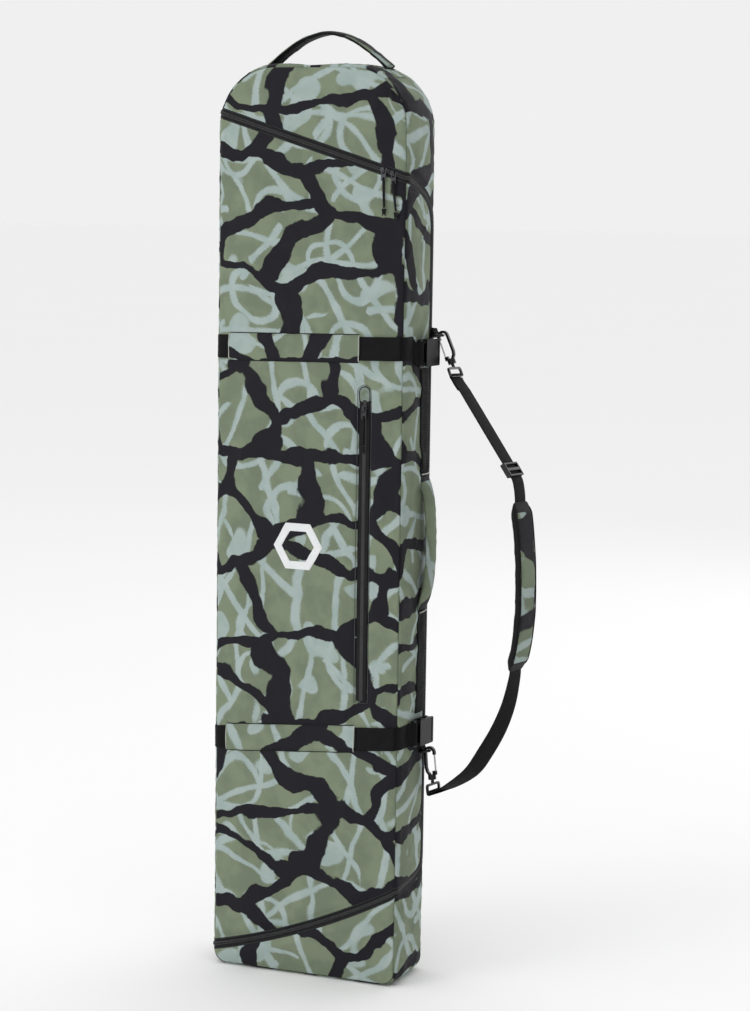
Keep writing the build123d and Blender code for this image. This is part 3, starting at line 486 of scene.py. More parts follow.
def z_bot(x):
    u = (x + X1) / 350
    return 34.3 + 76.9 * u + 58.6 * u * u


def bez(p, n):
    t = np.linspace(0, 1, n + 1)[:, None]
    p = np.asarray(p, float)
    return (1 - t) ** 3 * p[0] + 3 * t * (1 - t) ** 2 * p[1] + 3 * t * t * (1 - t) * p[2] + t ** 3 * p[3]


GP = np.concatenate([[(-65, 1394.0)], bez([(-59, 1393), (-5, 1376), (53, 1362), (53, 1305)], 60), bez([(53, 215), (53, 172), (-8, 180), (-59, 169.8)], 60), [(-65, 169.2)]])
GP = resample(GP, 2.0)


def offp(path, d):
    T = unitv(np.gradient(path, axis=0))
    for _ in range(3):
        T[1:-1] = (T[:-2] + T[1:-1] * 2 + T[2:]) / 4
    T = unitv(T)
    return path + np.stack([-T[:, 1], T[:, 0]], -1) * d


GPS = GP[::4]


def dist_gp(y, z):
    """Distance to the zip path on the right gusset."""
    out = np.full(np.broadcast(y, z).shape, 1e9)
    a, b = GPS[:-1], GPS[1:]
    for p, q in zip(a, b):
        d = q - p
        t = np.clip(((y - p[0]) * d[0] + (z - p[1]) * d[1]) / (d @ d), 0, 1)
        out = np.minimum(out, np.hypot(y - p[0] - t * d[0], z - p[1] - t * d[1]))
    return out


SEG = [150.0, RB * math.pi / 2, H - RT - RB, RT * math.pi / 2, 140.0, RT * math.pi / 2, H - RT - RB, RB * math.pi / 2, 150.0]
CUM = np.concatenate([[0], np.cumsum(SEG)])
PER = CUM[-1]


def outl(p):
    """Point and outward normal of the outline at run p, from the middle of the base, up the right side."""
    p = np.mod(np.asarray(p, float), PER)
    x, z, nx, nz = (np.zeros_like(p) for _ in range(4))

    def on(k):
        return (p >= CUM[k]) & (p <= CUM[k + 1]), p - CUM[k]
    for k, (f) in enumerate((
            lambda t: (t, 0 * t, 0 * t, 0 * t - 1),
            lambda t: (150 + RB * np.sin(t / RB), RB - RB * np.cos(t / RB), np.sin(t / RB), -np.cos(t / RB)),
            lambda t: (0 * t + X1, RB + t, 0 * t + 1, 0 * t),
            lambda t: (70 + RT * np.cos(t / RT), H - RT + RT * np.sin(t / RT), np.cos(t / RT), np.sin(t / RT)),
            lambda t: (70 - t, 0 * t + H, 0 * t, 0 * t + 1),
            lambda t: (-70 - RT * np.sin(t / RT), H - RT + RT * np.cos(t / RT), -np.sin(t / RT), np.cos(t / RT)),
            lambda t: (0 * t - X1, H - RT - t, 0 * t - 1, 0 * t),
            lambda t: (-150 - RB * np.cos(t / RB) * 1.0, RB - RB * np.sin(t / RB), -np.cos(t / RB), -np.sin(t / RB)),
            lambda t: (-150 + t, 0 * t, 0 * t, 0 * t - 1))):
        m, t = on(k)
        v = f(t)
        x, z, nx, nz = (np.where(m, a, b) for a, b in zip(v, (x, z, nx, nz)))
    return x, z, nx, nz


def p_right(z):
    z = np.asarray(z, float)
    return np.where(z <= H - RT, CUM[2] + z - RB, CUM[3] + RT * np.arcsin(np.clip((z - H + RT) / RT, 0, 1)))


def p_left(z):
    z = np.asarray(z, float)
    return np.where(z <= H - RT, CUM[6] + (H - RT - z), CUM[5] + RT * np.arccos(np.clip((z - H + RT) / RT, 0, 1)))


def edge(x, z):
    ax = np.abs(x)
    sx = np.sign(x) + (x == 0)
    a, b, c = X1 - ax, H - z, z
    e = np.minimum(np.minimum(a, b), c)
    gx = np.where(a <= np.minimum(b, c), -sx, 0.0)
    gz = np.where(a <= np.minimum(b, c), 0.0, np.where(b < c, -1.0, 1.0))
    for zc, R, up in ((H - RT, RT, 1), (RB, RB, -1)):
        dx, dz = ax - (X1 - R), (z - zc) * up
        m = (dx > 0) & (dz > 0)
        q = np.hypot(dx, dz) + 1e-9
        e = np.where(m, R - q, e)
        gx = np.where(m, -dx / q * sx, gx)
        gz = np.where(m, -dz / q * up, gz)
    return e, gx, gz


UPS = (1100.5, 1108.0)
LOS = (412.0, 440.0)


def strap_z(x, s):
    return s[0] + (s[1] - s[0]) * (x + X1) / 350


def zip_prof(ez):
    return np.where(ez < 14, -1.6 * np.exp(-(ez / 1.6) ** 2) + 0.7 * np.exp(-((ez - 4.0) / 2.2) ** 2) - 0.5 * np.exp(-((ez - 7.5) / 1.0) ** 2), 0)


def disp_face(x, z, back=False):
    e, _, _ = edge(x, z)
    f = sst(0, 75, e)
    g = 0.0
    for s, w in ((UPS, 34.0), (LOS, 34.0)):
        zz = strap_z(x, s) if not back else s[1]
        g = g + np.exp(-((z - zz) / w) ** 2)
    d = (7.0 if not back else 3.0) * f * (1 - 0.85 * g)
    sd = 11 if not back else 31
    k = sst(1, 16, e) * (1 - 0.6 * g)
    d = d + k * (1.9 * vn(x / 105 + 0.25 * z / 105, z / 88, sd) + 0.9 * vn(x / 46 - 0.5 * z / 60, z / 34 + x / 90, sd + 1))
    d = d + k * 0.35 * vn(x / 17, z / 14, sd + 2)
    rid = 1 - np.abs(vn(x / 70 + z / 130, z / 45 - x / 150, sd + 5))
    d = d + k * 1.6 * (rid ** 6 - 0.2)
    # puckers along the outline seam
    d = d + 0.85 * vn(x / 8.0, z / 9.0, sd + 3) * np.exp(-e / 8.0) * sst(0.5, 4, e)
    d = d - 1.5 * np.exp(-(e / 1.8) ** 2) + 0.5 * np.exp(-((e - 4.0) / 2.0) ** 2)
    # gathers beside the compression straps
    for s in (UPS, LOS):
        zz = strap_z(x, s) if not back else s[1]
        q = np.abs(z - zz)
        d = d + 1.5 * np.exp(-((q - 30) / 15.0) ** 2) * vn(x / 15.0, z / 70, sd + 4) * sst(2, 20, e)
        d = d - 0.9 * np.exp(-((q - 24.5) / 3.0) ** 2) * sst(2, 12, e)
    if not back:
        # folds at the top right corner and next to the slider
        r = np.hypot(x - 146, z - 1534)
        d = d + 2.6 * np.exp(-(r / 24) ** 2) * np.sin(4 * np.arctan2(z - 1534, x - 146) + 1.2) * sst(1, 9, e)
        r = np.hypot((x - 160) / 1.3, z - 1360)
        d = d + 1.6 * np.exp(-(r / 28) ** 2) * np.sin((x - 0.6 * z) / 5.5) * sst(1, 9, e)
        hb = z_top(x) - z
        d = d * (1 - 0.86 * sst(-12, 8, hb) * (1 - sst(76, 112, hb)))
        d = d * (1 - 0.86 * np.exp(-((x - 105) / 17.0) ** 2) * sst(425, 452, z) * (1 - sst(1044, 1074, z)))
        ez = np.minimum(np.abs(z - z_top(x)) * 0.956, np.abs(z - z_bot(x)) * 0.95) - ZB
        d = d * sst(-3, 16, ez) + zip_prof(ez) * sst(0, 4, e + 2)
        # pocket: the cloth is drawn in a little along the welt
        px = np.abs(x - 105)
        inp = sst(480, 500, z) * (1 - sst(1036, 1056, z))
        d = d - inp * (1.2 * np.exp(-((px - 10) / 3.0) ** 2)) + inp * 0.7 * np.exp(-((px - 16) / 5.0) ** 2) * (1 + 0.6 * vn(z / 11.0, x / 40, 77))
        d = d - 2.7 * (1 - sst(8.4, 12.6, px)) * sst(493, 499, z) * (1 - sst(1014, 1023, z))
    return d


def disp_rim(p, y):
    p = np.mod(p, PER)
    x, z, nx, nz = outl(p)
    e = Y1 - np.abs(y)
    side = sst(0.55, 0.95, np.abs(nx))
    low = sst(0.2, 0.9, -nz)
    f = sst(0, 40, e)
    g = np.exp(-((z - 1101) / 36) ** 2) + np.exp(-((z - 441) / 36) ** 2)
    g = g * side
    d = (4.6 * side + 2.0 * (1 - side)) * f * (1 - 0.9 * g)
    k = sst(1, 14, e) * (1 - 0.7 * g)
    d = d + k * (1.7 * vn(y / 60, p / 75, 51) + 0.9 * vn(y / 34 + p / 80, p / 30, 52) + 0.3 * vn(y / 14, p / 12, 53))
    rid = 1 - np.abs(vn(y / 75 + p / 90, p / 38 - y / 60, 55))
    d = d + k * 1.7 * (rid ** 6 - 0.2) * (1 - low)
    d = d + 0.8 * vn(y / 12.0, p / 7.0, 54) * np.exp(-e / 8.0) * sst(0.5, 4, e)
    d = d - 1.5 * np.exp(-(e / 1.8) ** 2) + 0.4 * np.exp(-((e - 4.0) / 2.0) ** 2)
    # tension folds that run to the sewn ends of the side handle
    right = side * (nx > 0)
    for zc in (656.0, 884.0):
        r = np.hypot(z - zc, y - 22)
        d = d + right * 1.8 * np.exp(-((r - 34) / 22.0) ** 2) * np.sin(5 * np.arctan2(z - zc, y - 22) + zc) * k
    for zc in (1101.0, 441.0):
        q = np.abs(z - zc)
        d = d + side * 1.3 * np.exp(-((q - 30) / 14.0) ** 2) * vn(y / 11.0, p / 70, 56) * k
    ez = np.where((nx > 0.5) & (z > 120) & (z < 1460), dist_gp(y, z), 1e3)
    ez = np.minimum(ez, np.where(nx < -0.5, np.minimum(np.abs(z - 1500.8), np.abs(z - 34.3)), 1e3)) - ZB
    d = d * sst(-3, 14, ez) + zip_prof(ez)
    return d * (1 - low * 0.92)


def face(x, z, off=0.0, back=False):
    x, z = np.broadcast_arrays(np.asarray(x, float), np.asarray(z, float))
    e, gx, gz = edge(x, z)
    th = (math.pi / 4) * (1 - np.clip(e, 0, RF) / RF)
    inset, dep = RF - RF * np.sin(th), RF - RF * np.cos(th)
    sh = np.where(e < RF, inset - e, 0.0)
    sy = 1.0 if back else -1.0
    n = np.stack([-gx * np.sin(th), sy * np.cos(th), -gz * np.sin(th)], -1)
    P = np.stack([x + gx * sh, sy * (Y1 - dep), z + gz * sh], -1)
    P = P + n * (disp_face(x, z, back) + off)[..., None]
    P[..., 2] = np.maximum(P[..., 2], 0.25)
    return P, n


def rim(p, y, off=0.0):
    p, y = np.broadcast_arrays(np.asarray(p, float), np.asarray(y, float))
    x, z, nx, nz = outl(p)
    e = np.clip(Y1 - np.abs(y), 0, RF)
    sg = np.sign(y) + (y == 0)
    th = (math.pi / 4) * (1 - e / RF)
    inset, dep = RF - RF * np.sin(th), RF - RF * np.cos(th)
    yy = np.where(Y1 - np.abs(y) < RF, sg * (Y1 - inset), y)
    n = np.stack([nx * np.cos(th), sg * np.sin(th), nz * np.cos(th)], -1)
    P = np.stack([x - nx * dep, yy, z - nz * dep], -1)
    P = P + n * (disp_rim(p, y) + off)[..., None]
    P[..., 2] = np.maximum(P[..., 2], 0.25 if np.ndim(off) or off >= 0 else 0.25 - off * 0.9)
    return P, n


def coons(B, R, T, L, us, vs):
    """B and T run left to right, L and R bottom to top; each (k,2); us, vs are shares 0..1."""
    def at(Cv, t):
        s = np.concatenate([[0], np.cumsum(np.linalg.norm(np.diff(Cv, axis=0), axis=1))])
        s /= s[-1]
        return np.stack([np.interp(t, s, Cv[:, k]) for k in (0, 1)], -1)
    B, R, T, L = (np.asarray(c, float) for c in (B, R, T, L))
    b, t, l, r = at(B, us), at(T, us), at(L, vs), at(R, vs)
    u, v = us[:, None, None], vs[None, :, None]
    return ((1 - v) * b[:, None] + v * t[:, None] + (1 - u) * l[None] + u * r[None]
            - (1 - u) * (1 - v) * b[0] - u * (1 - v) * b[-1] - (1 - u) * v * t[0] - u * v * t[-1])


def shares(length, step=6.0, fine=(0, 0.8, 1.6, 2.6, 4.0, 5.5, 7.2, 9.0, 11.5), a=True, b=True):
    lo = list(fine) if a else [0]
    hi = [length - f for f in fine] if b else [length]
    n = max(2, int(round((hi[-1] - lo[-1]) / step)))
    mid = list(np.linspace(lo[-1], hi[-1], n + 1))[1:-1] if b else list(np.linspace(lo[-1], hi[0], n + 1))[1:]
    v = sorted(set(lo + mid + (hi if b else [])))
    return np.array(v) / length


def arc_pts(cx, cz, R, a0, a1, n=16):
    t = np.radians(np.linspace(a0, a1, n))
    return np.stack([cx + R * np.cos(t), cz + R * np.sin(t)], -1)


def panel(name, D, surf, mats, body, off2, rep, slot="print_fabric", thick=4.2, side=1, **kw):
    a, b = D[..., 0], D[..., 1]
    top, n = surf(a, b, **kw)
    bot = top - n * thick
    bot[..., 2] = np.maximum(bot[..., 2], 0.3)
    if surf is rim:
        pat = np.stack([b + off2[0], a + off2[1], 0 * a], -1) * MM
        bot[..., 2] = np.where(bot[..., 2] < 4.4, np.maximum(bot[..., 2], top[..., 2] + thick * np.clip(-n[..., 2], 0, 1)), bot[..., 2])
    else:
        pat = np.stack([a + off2[0], b + off2[1], 0 * a], -1) * MM
    return slab(name, top, bot, mats, body, pat, rep, side)


xs = np.linspace(-X1, X1, 60)
PM = [M_PRINT, M_LINING]
# front panel of the lid
D = coons(np.stack([xs, z_bot(xs) + ZB], -1), [(X1, z_bot(X1) + ZB), (X1, z_top(X1) - ZB)], np.stack([xs, z_top(xs) - ZB], -1),
          [(-X1, z_bot(-X1) + ZB), (-X1, H - RT), (-X1, z_top(-X1) - ZB)], shares(350, 5.0), shares(1330, 5.5))
front_panel = panel("front_shell", D, face, PM, "lid", (0, 0), ["front_panel"])
# top front panel, stays with the tub
a45 = arc_pts(70, H - RT, RT, 0, 45)
L45 = arc_pts(-70, H - RT, RT, 165.5, 135, 10)
D = coons(np.concatenate([[(-171.6, 1506.0)], np.stack([xs[1:], z_top(xs[1:]) + ZB], -1)]),
          np.concatenate([[(X1, z_top(X1) + ZB)], a45]),
          np.concatenate([arc_pts(-70, H - RT, RT, 135, 90), arc_pts(70, H - RT, RT, 90, 45)]),
          L45, shares(360, 4.5), shares(150, 4.0))
D[0, 0] = (-171.6, 1506.0)
top_front = panel("top_front_shell", D, face, PM, "tub", (410, 37), ["top_front_panel"])
# bottom front panel
zl = z_bot(-X1) - ZB
k = math.sqrt(0.5)
D = coons(np.concatenate([arc_pts(-150, RB, RB, 225, 270, 6), arc_pts(150, RB, RB, 270, 315, 6)]),
          np.concatenate([arc_pts(150, RB, RB, 315, 360, 6), [(X1, z_bot(X1) - ZB)]]),
          np.stack([xs, z_bot(xs) - ZB], -1),
          np.concatenate([arc_pts(-150, RB, RB, 225, 180, 6), [(-X1, zl)]]), shares(350, 5.0), shares(90, 4.0))
bottom_front = panel("bottom_front_shell", D, face, PM, "tub", (820, 655), ["bottom_front_panel"])
# back panel
D = coons(np.concatenate([arc_pts(-150, RB, RB, 225, 270, 6), arc_pts(150, RB, RB, 270, 315, 6)]),
          np.concatenate([arc_pts(150, RB, RB, 315, 360, 6), a45]),
          np.concatenate([arc_pts(-70, H - RT, RT, 135, 90), arc_pts(70, H - RT, RT, 90, 45)]),
          np.concatenate([arc_pts(-150, RB, RB, 225, 180, 6), arc_pts(-70, H - RT, RT, 180, 135)]), shares(350, 6.0), shares(1500, 6.5))
back_shell = panel("back_shell", D, face, PM, "tub", (1230, 310), ["back_panel"], back=True)
# top gusset: left return over the top and down to the zip
gt = offp(GP[: len(GP) // 2], ZB)
gt = gt[gt[:, 0] < 58.7]
gtp = np.concatenate([[(-65, gt[0][1] + 0.4)], gt[1:], [(59, 1305), (65, 1305)]])
pl = float(p_left(z_top(-X1) + ZB))
D = coons([(float(p_right(gtp[0][1])), -65), (pl, -65)],
          [(pl, -65), (pl, 65)],
          [(float(p_right(1305)), 65), (pl, 65)],
          np.stack([p_right(gtp[:, 1]), gtp[:, 0]], -1), shares(540, 5.0), shares(140, 4.0))
top_gus = panel("top_gusset_shell", D, rim, PM, "tub", (530, 210), ["top_gusset"])
# bottom gusset
gb = offp(GP[len(GP) // 2:], ZB)
gb = gb[gb[:, 0] < 58.7]
gbp = np.concatenate([[(65, 215), (59, 215)], gb[:-1], [(-65, gb[-1][1] - 0.4)]])[::-1]
pb = float(p_left(z_bot(-X1) - ZB)) - PER
D = coons([(pb, -65), (float(p_right(gbp[0][1])), -65)],
          np.stack([p_right(gbp[:, 1]), gbp[:, 0]], -1),
          [(pb, 65), (float(p_right(215)), 65)], [(pb, -65), (pb, 65)], shares(520, 5.0), shares(140, 4.0))
bot_gus = panel("bottom_gusset_shell", D, rim, PM, "tub", (95, 905), ["bottom_gusset"])
# right edge strip behind the zip
D = coons([(float(p_right(215)), 58.9), (float(p_right(1305)), 58.9)], [(float(p_right(1305)), 58.9), (float(p_right(1305)), 65)],
          [(float(p_right(215)), 65), (float(p_right(1305)), 65)], [(float(p_right(215)), 58.9), (float(p_right(215)), 65)],
          shares(1090, 6.0, (0,)), np.linspace(0, 1, 7))
strip = panel("back_edge_strip", D, rim, PM, "tub", (700, 15), [])
# right gusset of the lid
gl = offp(GP, -ZB)
h = len(gl) // 2
gtop, gbot = gl[:h], gl[h:][::-1]
gtop = np.concatenate([[(-65, gtop[0][1] - 0.3)], gtop[gtop[:, 1] > 1305][1:], [(47, 1305)]])
gbot = np.concatenate([[(-65, gbot[0][1] + 0.3)], gbot[gbot[:, 1] < 215][1:], [(47, 215)]])
D = coons(np.stack([p_right(gbot[:, 1]), gbot[:, 0]], -1),
          [(float(p_right(215)), 47), (float(p_right(1305)), 47)],
          np.stack([p_right(gtop[:, 1]), gtop[:, 0]], -1),
          [(float(p_right(gbot[0][1])), -65), (float(p_right(gtop[0][1])), -65)], shares(118, 4.0), shares(1150, 5.0))
right_gus = panel("right_gusset_shell", D, rim, PM, "lid", (260, 480), ["right_gusset"])
# left gusset: lid cloth at the sewn hinge, built as one fixed panel attached to no body
pa, pc = float(p_left(z_bot(-X1) + ZB)), float(p_left(z_top(-X1) - ZB))
D = coons([(pc, -65), (pa, -65)], [(pa, -65), (pa, 64.6)], [(pc, 64.6), (pa, 64.6)], [(pc, -65), (pc, 64.6)], shares(1450, 5.5), shares(130, 4.0))
left_gus = panel("left_gusset_shell", D, rim, PM, None, (330, 1210), ["left_gusset"])
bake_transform(left_gus)


# ============================================================ strips on the shell
def lay(name, rows, sec_top, sec_bot, mats, body, rep=(), mi=None, poff=(0, 0), s=None, angle=None):
    """rows: list of functions off -> (m,3) point rows are too slow, so rows is (surf, A, B) arrays (n,m).
    sec_top and sec_bot are heights over the cloth, (m,) or (n,m)."""
    pts, nrm = rows
    n, m = pts.shape[:2]
    top = pts + nrm * np.broadcast_to(sec_top, (n, m))[..., None]
    bot = pts + nrm * np.broadcast_to(sec_bot, (n, m))[..., None]
    V = np.concatenate([top, bot[:, ::-1]], 1)
    M2 = 2 * m
    i = np.arange(n - 1)[:, None] * M2 + np.arange(M2)[None]
    j = np.arange(n - 1)[:, None] * M2 + (np.arange(M2)[None] + 1) % M2
    F = np.stack([i, j, j + M2, i + M2], -1).reshape(-1, 4).tolist()
    F.append(tuple(range(M2)))
    F.append(tuple(range((n - 1) * M2, n * M2)))
    mid = pts[:, m // 2]
    if s is None:
        s = np.concatenate([[0], np.cumsum(np.linalg.norm(np.diff(mid, axis=0), axis=1))])
    w = np.concatenate([[0], np.cumsum(np.linalg.norm(np.diff(pts[n // 2], axis=0), axis=1))])
    w = w - w[-1] / 2
    ww = np.concatenate([w, w[::-1]])
    pat = np.zeros((n, M2, 3))
    pat[..., 0] = s[:, None] * MM + poff[0]
    pat[..., 1] = ww[None] * MM + poff[1]
    mlist = None
    if mi is not None:
        mlist = list(mi) * (n - 1) + [mi[0], mi[0]]
    return mk(name, V, F, mats, body, mlist, pat, rep, angle=angle)


def legs_strap(zl, zr, y_l, y_r, ws, step=3.0):
    """Rows of a strap round the left gusset, the front and the right gusset."""
    P, N = [], []
    ys = np.arange(y_l, -Y1, -step)
    a, b = rim(p_left(zl + ws[None, :] + 0 * ys[:, None]), ys[:, None] + 0 * ws[None, :])
    P.append(a); N.append(b)
    x = np.arange(-X1, X1 + 0.1, step)
    a, b = face(x[:, None] + 0 * ws[None], (zl + (zr - zl) * (x + X1) / 350)[:, None] + ws[None])
    P.append(a); N.append(b)
    ys = np.arange(-Y1 + step, y_r, step)
    a, b = rim(p_right(zr + ws[None, :] + 0 * ys[:, None]), ys[:, None] + 0 * ws[None, :])
    P.append(a); N.append(b)
    return np.concatenate(P), np.concatenate(N)


WS = C([-20.0, -19.6, -18.6, -15, -10, -5, 0, 5, 10, 15, 18.6, 19.6, 20.0])
WTOP = C([1.2, 1.75, 2.05, 2.1, 2.1, 2.1, 2.1, 2.1, 2.1, 2.1, 2.05, 1.75, 1.2])


def flat_rows(rows, win=9):
    """Straps pull straight over small hollows: smooth the line along its run."""
    P, N = rows
    P = P.copy()
    for _ in range(win):
        P[1:-1] = (P[:-2] + 2 * P[1:-1] + P[2:]) / 4
    mid = P.mean(1, keepdims=True)
    return P, unitv(N)


for nm, s, rep in (("upper", UPS, "front_strap_upper"), ("lower", LOS, "front_strap_lower")):
    zb = 1099.0 if nm == "upper" else 441.0
    P, N = legs_strap(s[0], s[1], 56.0, -30.0, WS)
    P, N = flat_rows((P, N), 4)
    # on to the male buckle's bar
    BA = math.radians(7.5)
    bo, bd, bt = C([185.5, -6.0, zb]), C([math.sin(BA), math.cos(BA), 0]), C([math.cos(BA), -math.sin(BA), 0])
    tail = []
    end0 = P[-1].mean(0)
    targets = [(-22.0, -3.5), (-17.0, -1.0), (-12.6, 3.9), (-10.0, 4.3)]
    line = catmull([P[-3].mean(0)[:3], end0] + [bo + bd * t[0] + bt * t[1] for t in targets], 5)[5:]
    T = unitv(np.gradient(line, axis=0))
    Bn = unitv(np.cross(T, C([0, 0, 1.0])))
    Bn = Bn * np.sign(Bn[:, :1])
    tp = line[:, None] + C([0, 0, 1.0]) * WS[None, :, None]
    P2 = np.concatenate([P, tp[1:]])
    N2 = np.concatenate([N, np.broadcast_to(Bn[1:, None], tp[1:].shape)])
    rib = 0.16 * np.sin(np.arange(len(P2)) * 2.1)
    o = lay("compression_strap_" + nm, (P2, N2), WTOP[None] + rib[:, None] * 0, C([0.9] + [0.25] * 11 + [0.9]), [M_WEB], "lid", [rep])
    # folded tail that lies back over the strap
    x = np.arange(100.0, 172.0, 3.0)
    zz = s[0] + (s[1] - s[0]) * (x + X1) / 350
    a, b = face(x[:, None] + 0 * WS[None], zz[:, None] + WS[None])
    lay("compression_tail_" + nm, (a, b), WTOP[None] + 2.0 + 0.25 * np.sin(x / 9.0)[:, None], C([2.9] + [2.2] * 11 + [2.9]), [M_WEB], "lid", [])

# print sleeves that the straps run through
for nm, s, rep, po in (("upper", UPS, "strap_sleeve_upper", (2.05, 0.31)), ("lower", LOS, "strap_sleeve_lower", (2.9, 0.75))):
    hw = 23.5
    w = np.concatenate([C([-hw, -hw + 0.5, -hw + 1.5, -hw + 3, -hw + 4.2, -hw + 6]), np.linspace(-16, 16, 11), C([hw - 6, hw - 4.2, hw - 3, hw - 1.5, hw - 0.5, hw])])
    x = np.concatenate([[-151, -150.2, -149, -147], np.arange(-144, 90, 3.5), [90.5, 92.5, 93.8, 94.6]])
    zc = s[0] + (s[1] - s[0]) * (x + X1) / 350
    a, b = face(x[:, None] + 0 * w[None], zc[:, None] + w[None])
    a, b = flat_rows((a, b), 3)
    prof = 0.9 + 3.3 * np.sqrt(np.clip(1 - (w / (hw - 2.2)) ** 2, 0, 1)) ** 0.7
    prof = prof[None] + 0.75 * vn(x[:, None] / 16.0, w[None] / 30.0, 91) * (1 - (w[None] / hw) ** 2) + 0.4 * vn(x[:, None] / 7.0, w[None] / 12.0, 92) * np.exp(-((np.abs(w[None]) - 18) / 4) ** 2)
    prof = np.maximum(prof - 0.5 * np.exp(-((np.abs(w[None]) - (hw - 3)) / 0.8) ** 2), 0.7)
    o = lay("strap_sleeve_" + nm, (a, b), prof, 0.2, [M_PRINT], "lid", [rep], poff=po)
    # turned hem at each end with a light raw edge
    for xe, sg in ((-150.0, 1), (93.6, -1)):
        P, Nn = face(C([xe] * 40), strap_z(xe, s) + np.linspace(-hw + 0.6, hw - 0.6, 40))
        pr = 0.9 + 3.3 * np.sqrt(np.clip(1 - (np.linspace(-hw + 0.6, hw - 0.6, 40) / (hw - 2.2)) ** 2, 0, 1)) ** 0.7
        tube("sleeve_edge_%s_%s" % (nm, "l" if sg > 0 else "r"), P + Nn * (pr[:, None] + 0.1), 0.75, [M_THREAD], "lid", 8)
    # seam rolls along the two long edges
    for sg in (-1, 1):
        xx = np.arange(-150, 94, 3.0)
        P, Nn = face(xx, strap_z(xx, s) + sg * (hw + 0.2))
        tube("sleeve_seam_%s_%s" % (nm, "a" if sg < 0 else "b"), P + Nn * 0.5, 0.9, [M_EDGE], "lid", 8)

# back straps, sewn on; they run round the back edge to the buckle housings
for nm, zc, rep in (("upper", 1098.0, "back_strap_upper"), ("lower", 441.0, "back_strap_lower")):
    x = np.arange(-170.0, X1, 4.0)
    P1, N1 = face(x[:, None] + 0 * WS[None], zc + WS[None] + 0 * x[:, None], back=True)
    ys = np.arange(Y1 - 4, 46.0, -3.0)
    Pb, Nb = rim(p_right(zc + WS[None, :] + 0 * ys[:, None]), ys[:, None] + 0 * WS[None])
    P, N = flat_rows((np.concatenate([P1, Pb]), np.concatenate([N1, Nb])), 3)
    bo = C([185.5, -6.0, zc + (1.0 if nm == "upper" else 0)])
    line = catmull([P[-2].mean(0), P[-1].mean(0), bo + bd * 45.5 + bt * -2.6, bo + bd * 43.6 + bt * 1.9, bo + bd * 41.4 + bt * 1.2], 5)[5:]
    T = unitv(np.gradient(line, axis=0))
    Bn = unitv(np.cross(T, C([0, 0, -1.0])))
    Bn = Bn * np.where(Bn[:, :1] == 0, 1, np.sign(Bn[:, :1] + 1e-9))
    tp = line[:, None] + C([0, 0, 1.0]) * (WS * 0.95)[None, :, None]
    P = np.concatenate([P, tp[1:]]); N = np.concatenate([N, np.broadcast_to(Bn[1:, None], tp[1:].shape)])
    lay("back_webbing_" + nm, (P, N), WTOP, C([0.9] + [0.25] * 11 + [0.9]), [M_WEB], "tub", [rep])

# ------------------------------------------------------------------- main zip
WZ = C([0.15, 1.0, 1.9, 2.7, 3.3, 3.9, 5.0, 6.5, 8.0, 9.0, 9.5])
HZ = C([1.9, 2.5, 2.45, 1.9, 1.05, 0.75, 0.7, 0.75, 0.95, 0.8, 0.2])
HZB = C([-1.0] * 9 + [-0.6, 0.0])


def zip_rows(sgn, wz, step):
    w = wz * sgn
    P, N, S = [], [], []
    ys = np.arange(57.0, -Y1, -step)
    a, b = rim(p_left(1500.8 + w[None] + 0 * ys[:, None]), ys[:, None] + 0 * w[None]); P.append(a); N.append(b)
    x = np.arange(-X1 + 1.5, X1, step * 0.95)
    a, b = face(x[:, None] + 0 * w[None], z_top(x)[:, None] + w[None] / 0.956); P.append(a); N.append(b)
    path = resample(GP, step)
    T = unitv(np.gradient(path, axis=0))
    ker = np.ones(15) / 15
    T = unitv(np.stack([np.convolve(np.pad(T[:, k], 7, "edge"), ker, "valid") for k in (0, 1)], -1))
    nn = np.stack([-T[:, 1], T[:, 0]], -1)
    yz = path[:, None] + nn[:, None] * w[None, :, None]
    a, b = rim(p_right(yz[..., 1]), np.clip(yz[..., 0], -65, 65)); P.append(a); N.append(b)
    x = np.arange(X1, -X1, -step * 0.93)
    a, b = face(x[:, None] + 0 * w[None], z_bot(x)[:, None] - w[None] / 0.95); P.append(a); N.append(b)
    ys = np.arange(-Y1, 57.0, step)
    a, b = rim(p_left(34.3 - w[None] + 0 * ys[:, None]), ys[:, None] + 0 * w[None]); P.append(a); N.append(b)
    P, N = np.concatenate(P), np.concatenate(N)
    return P, N


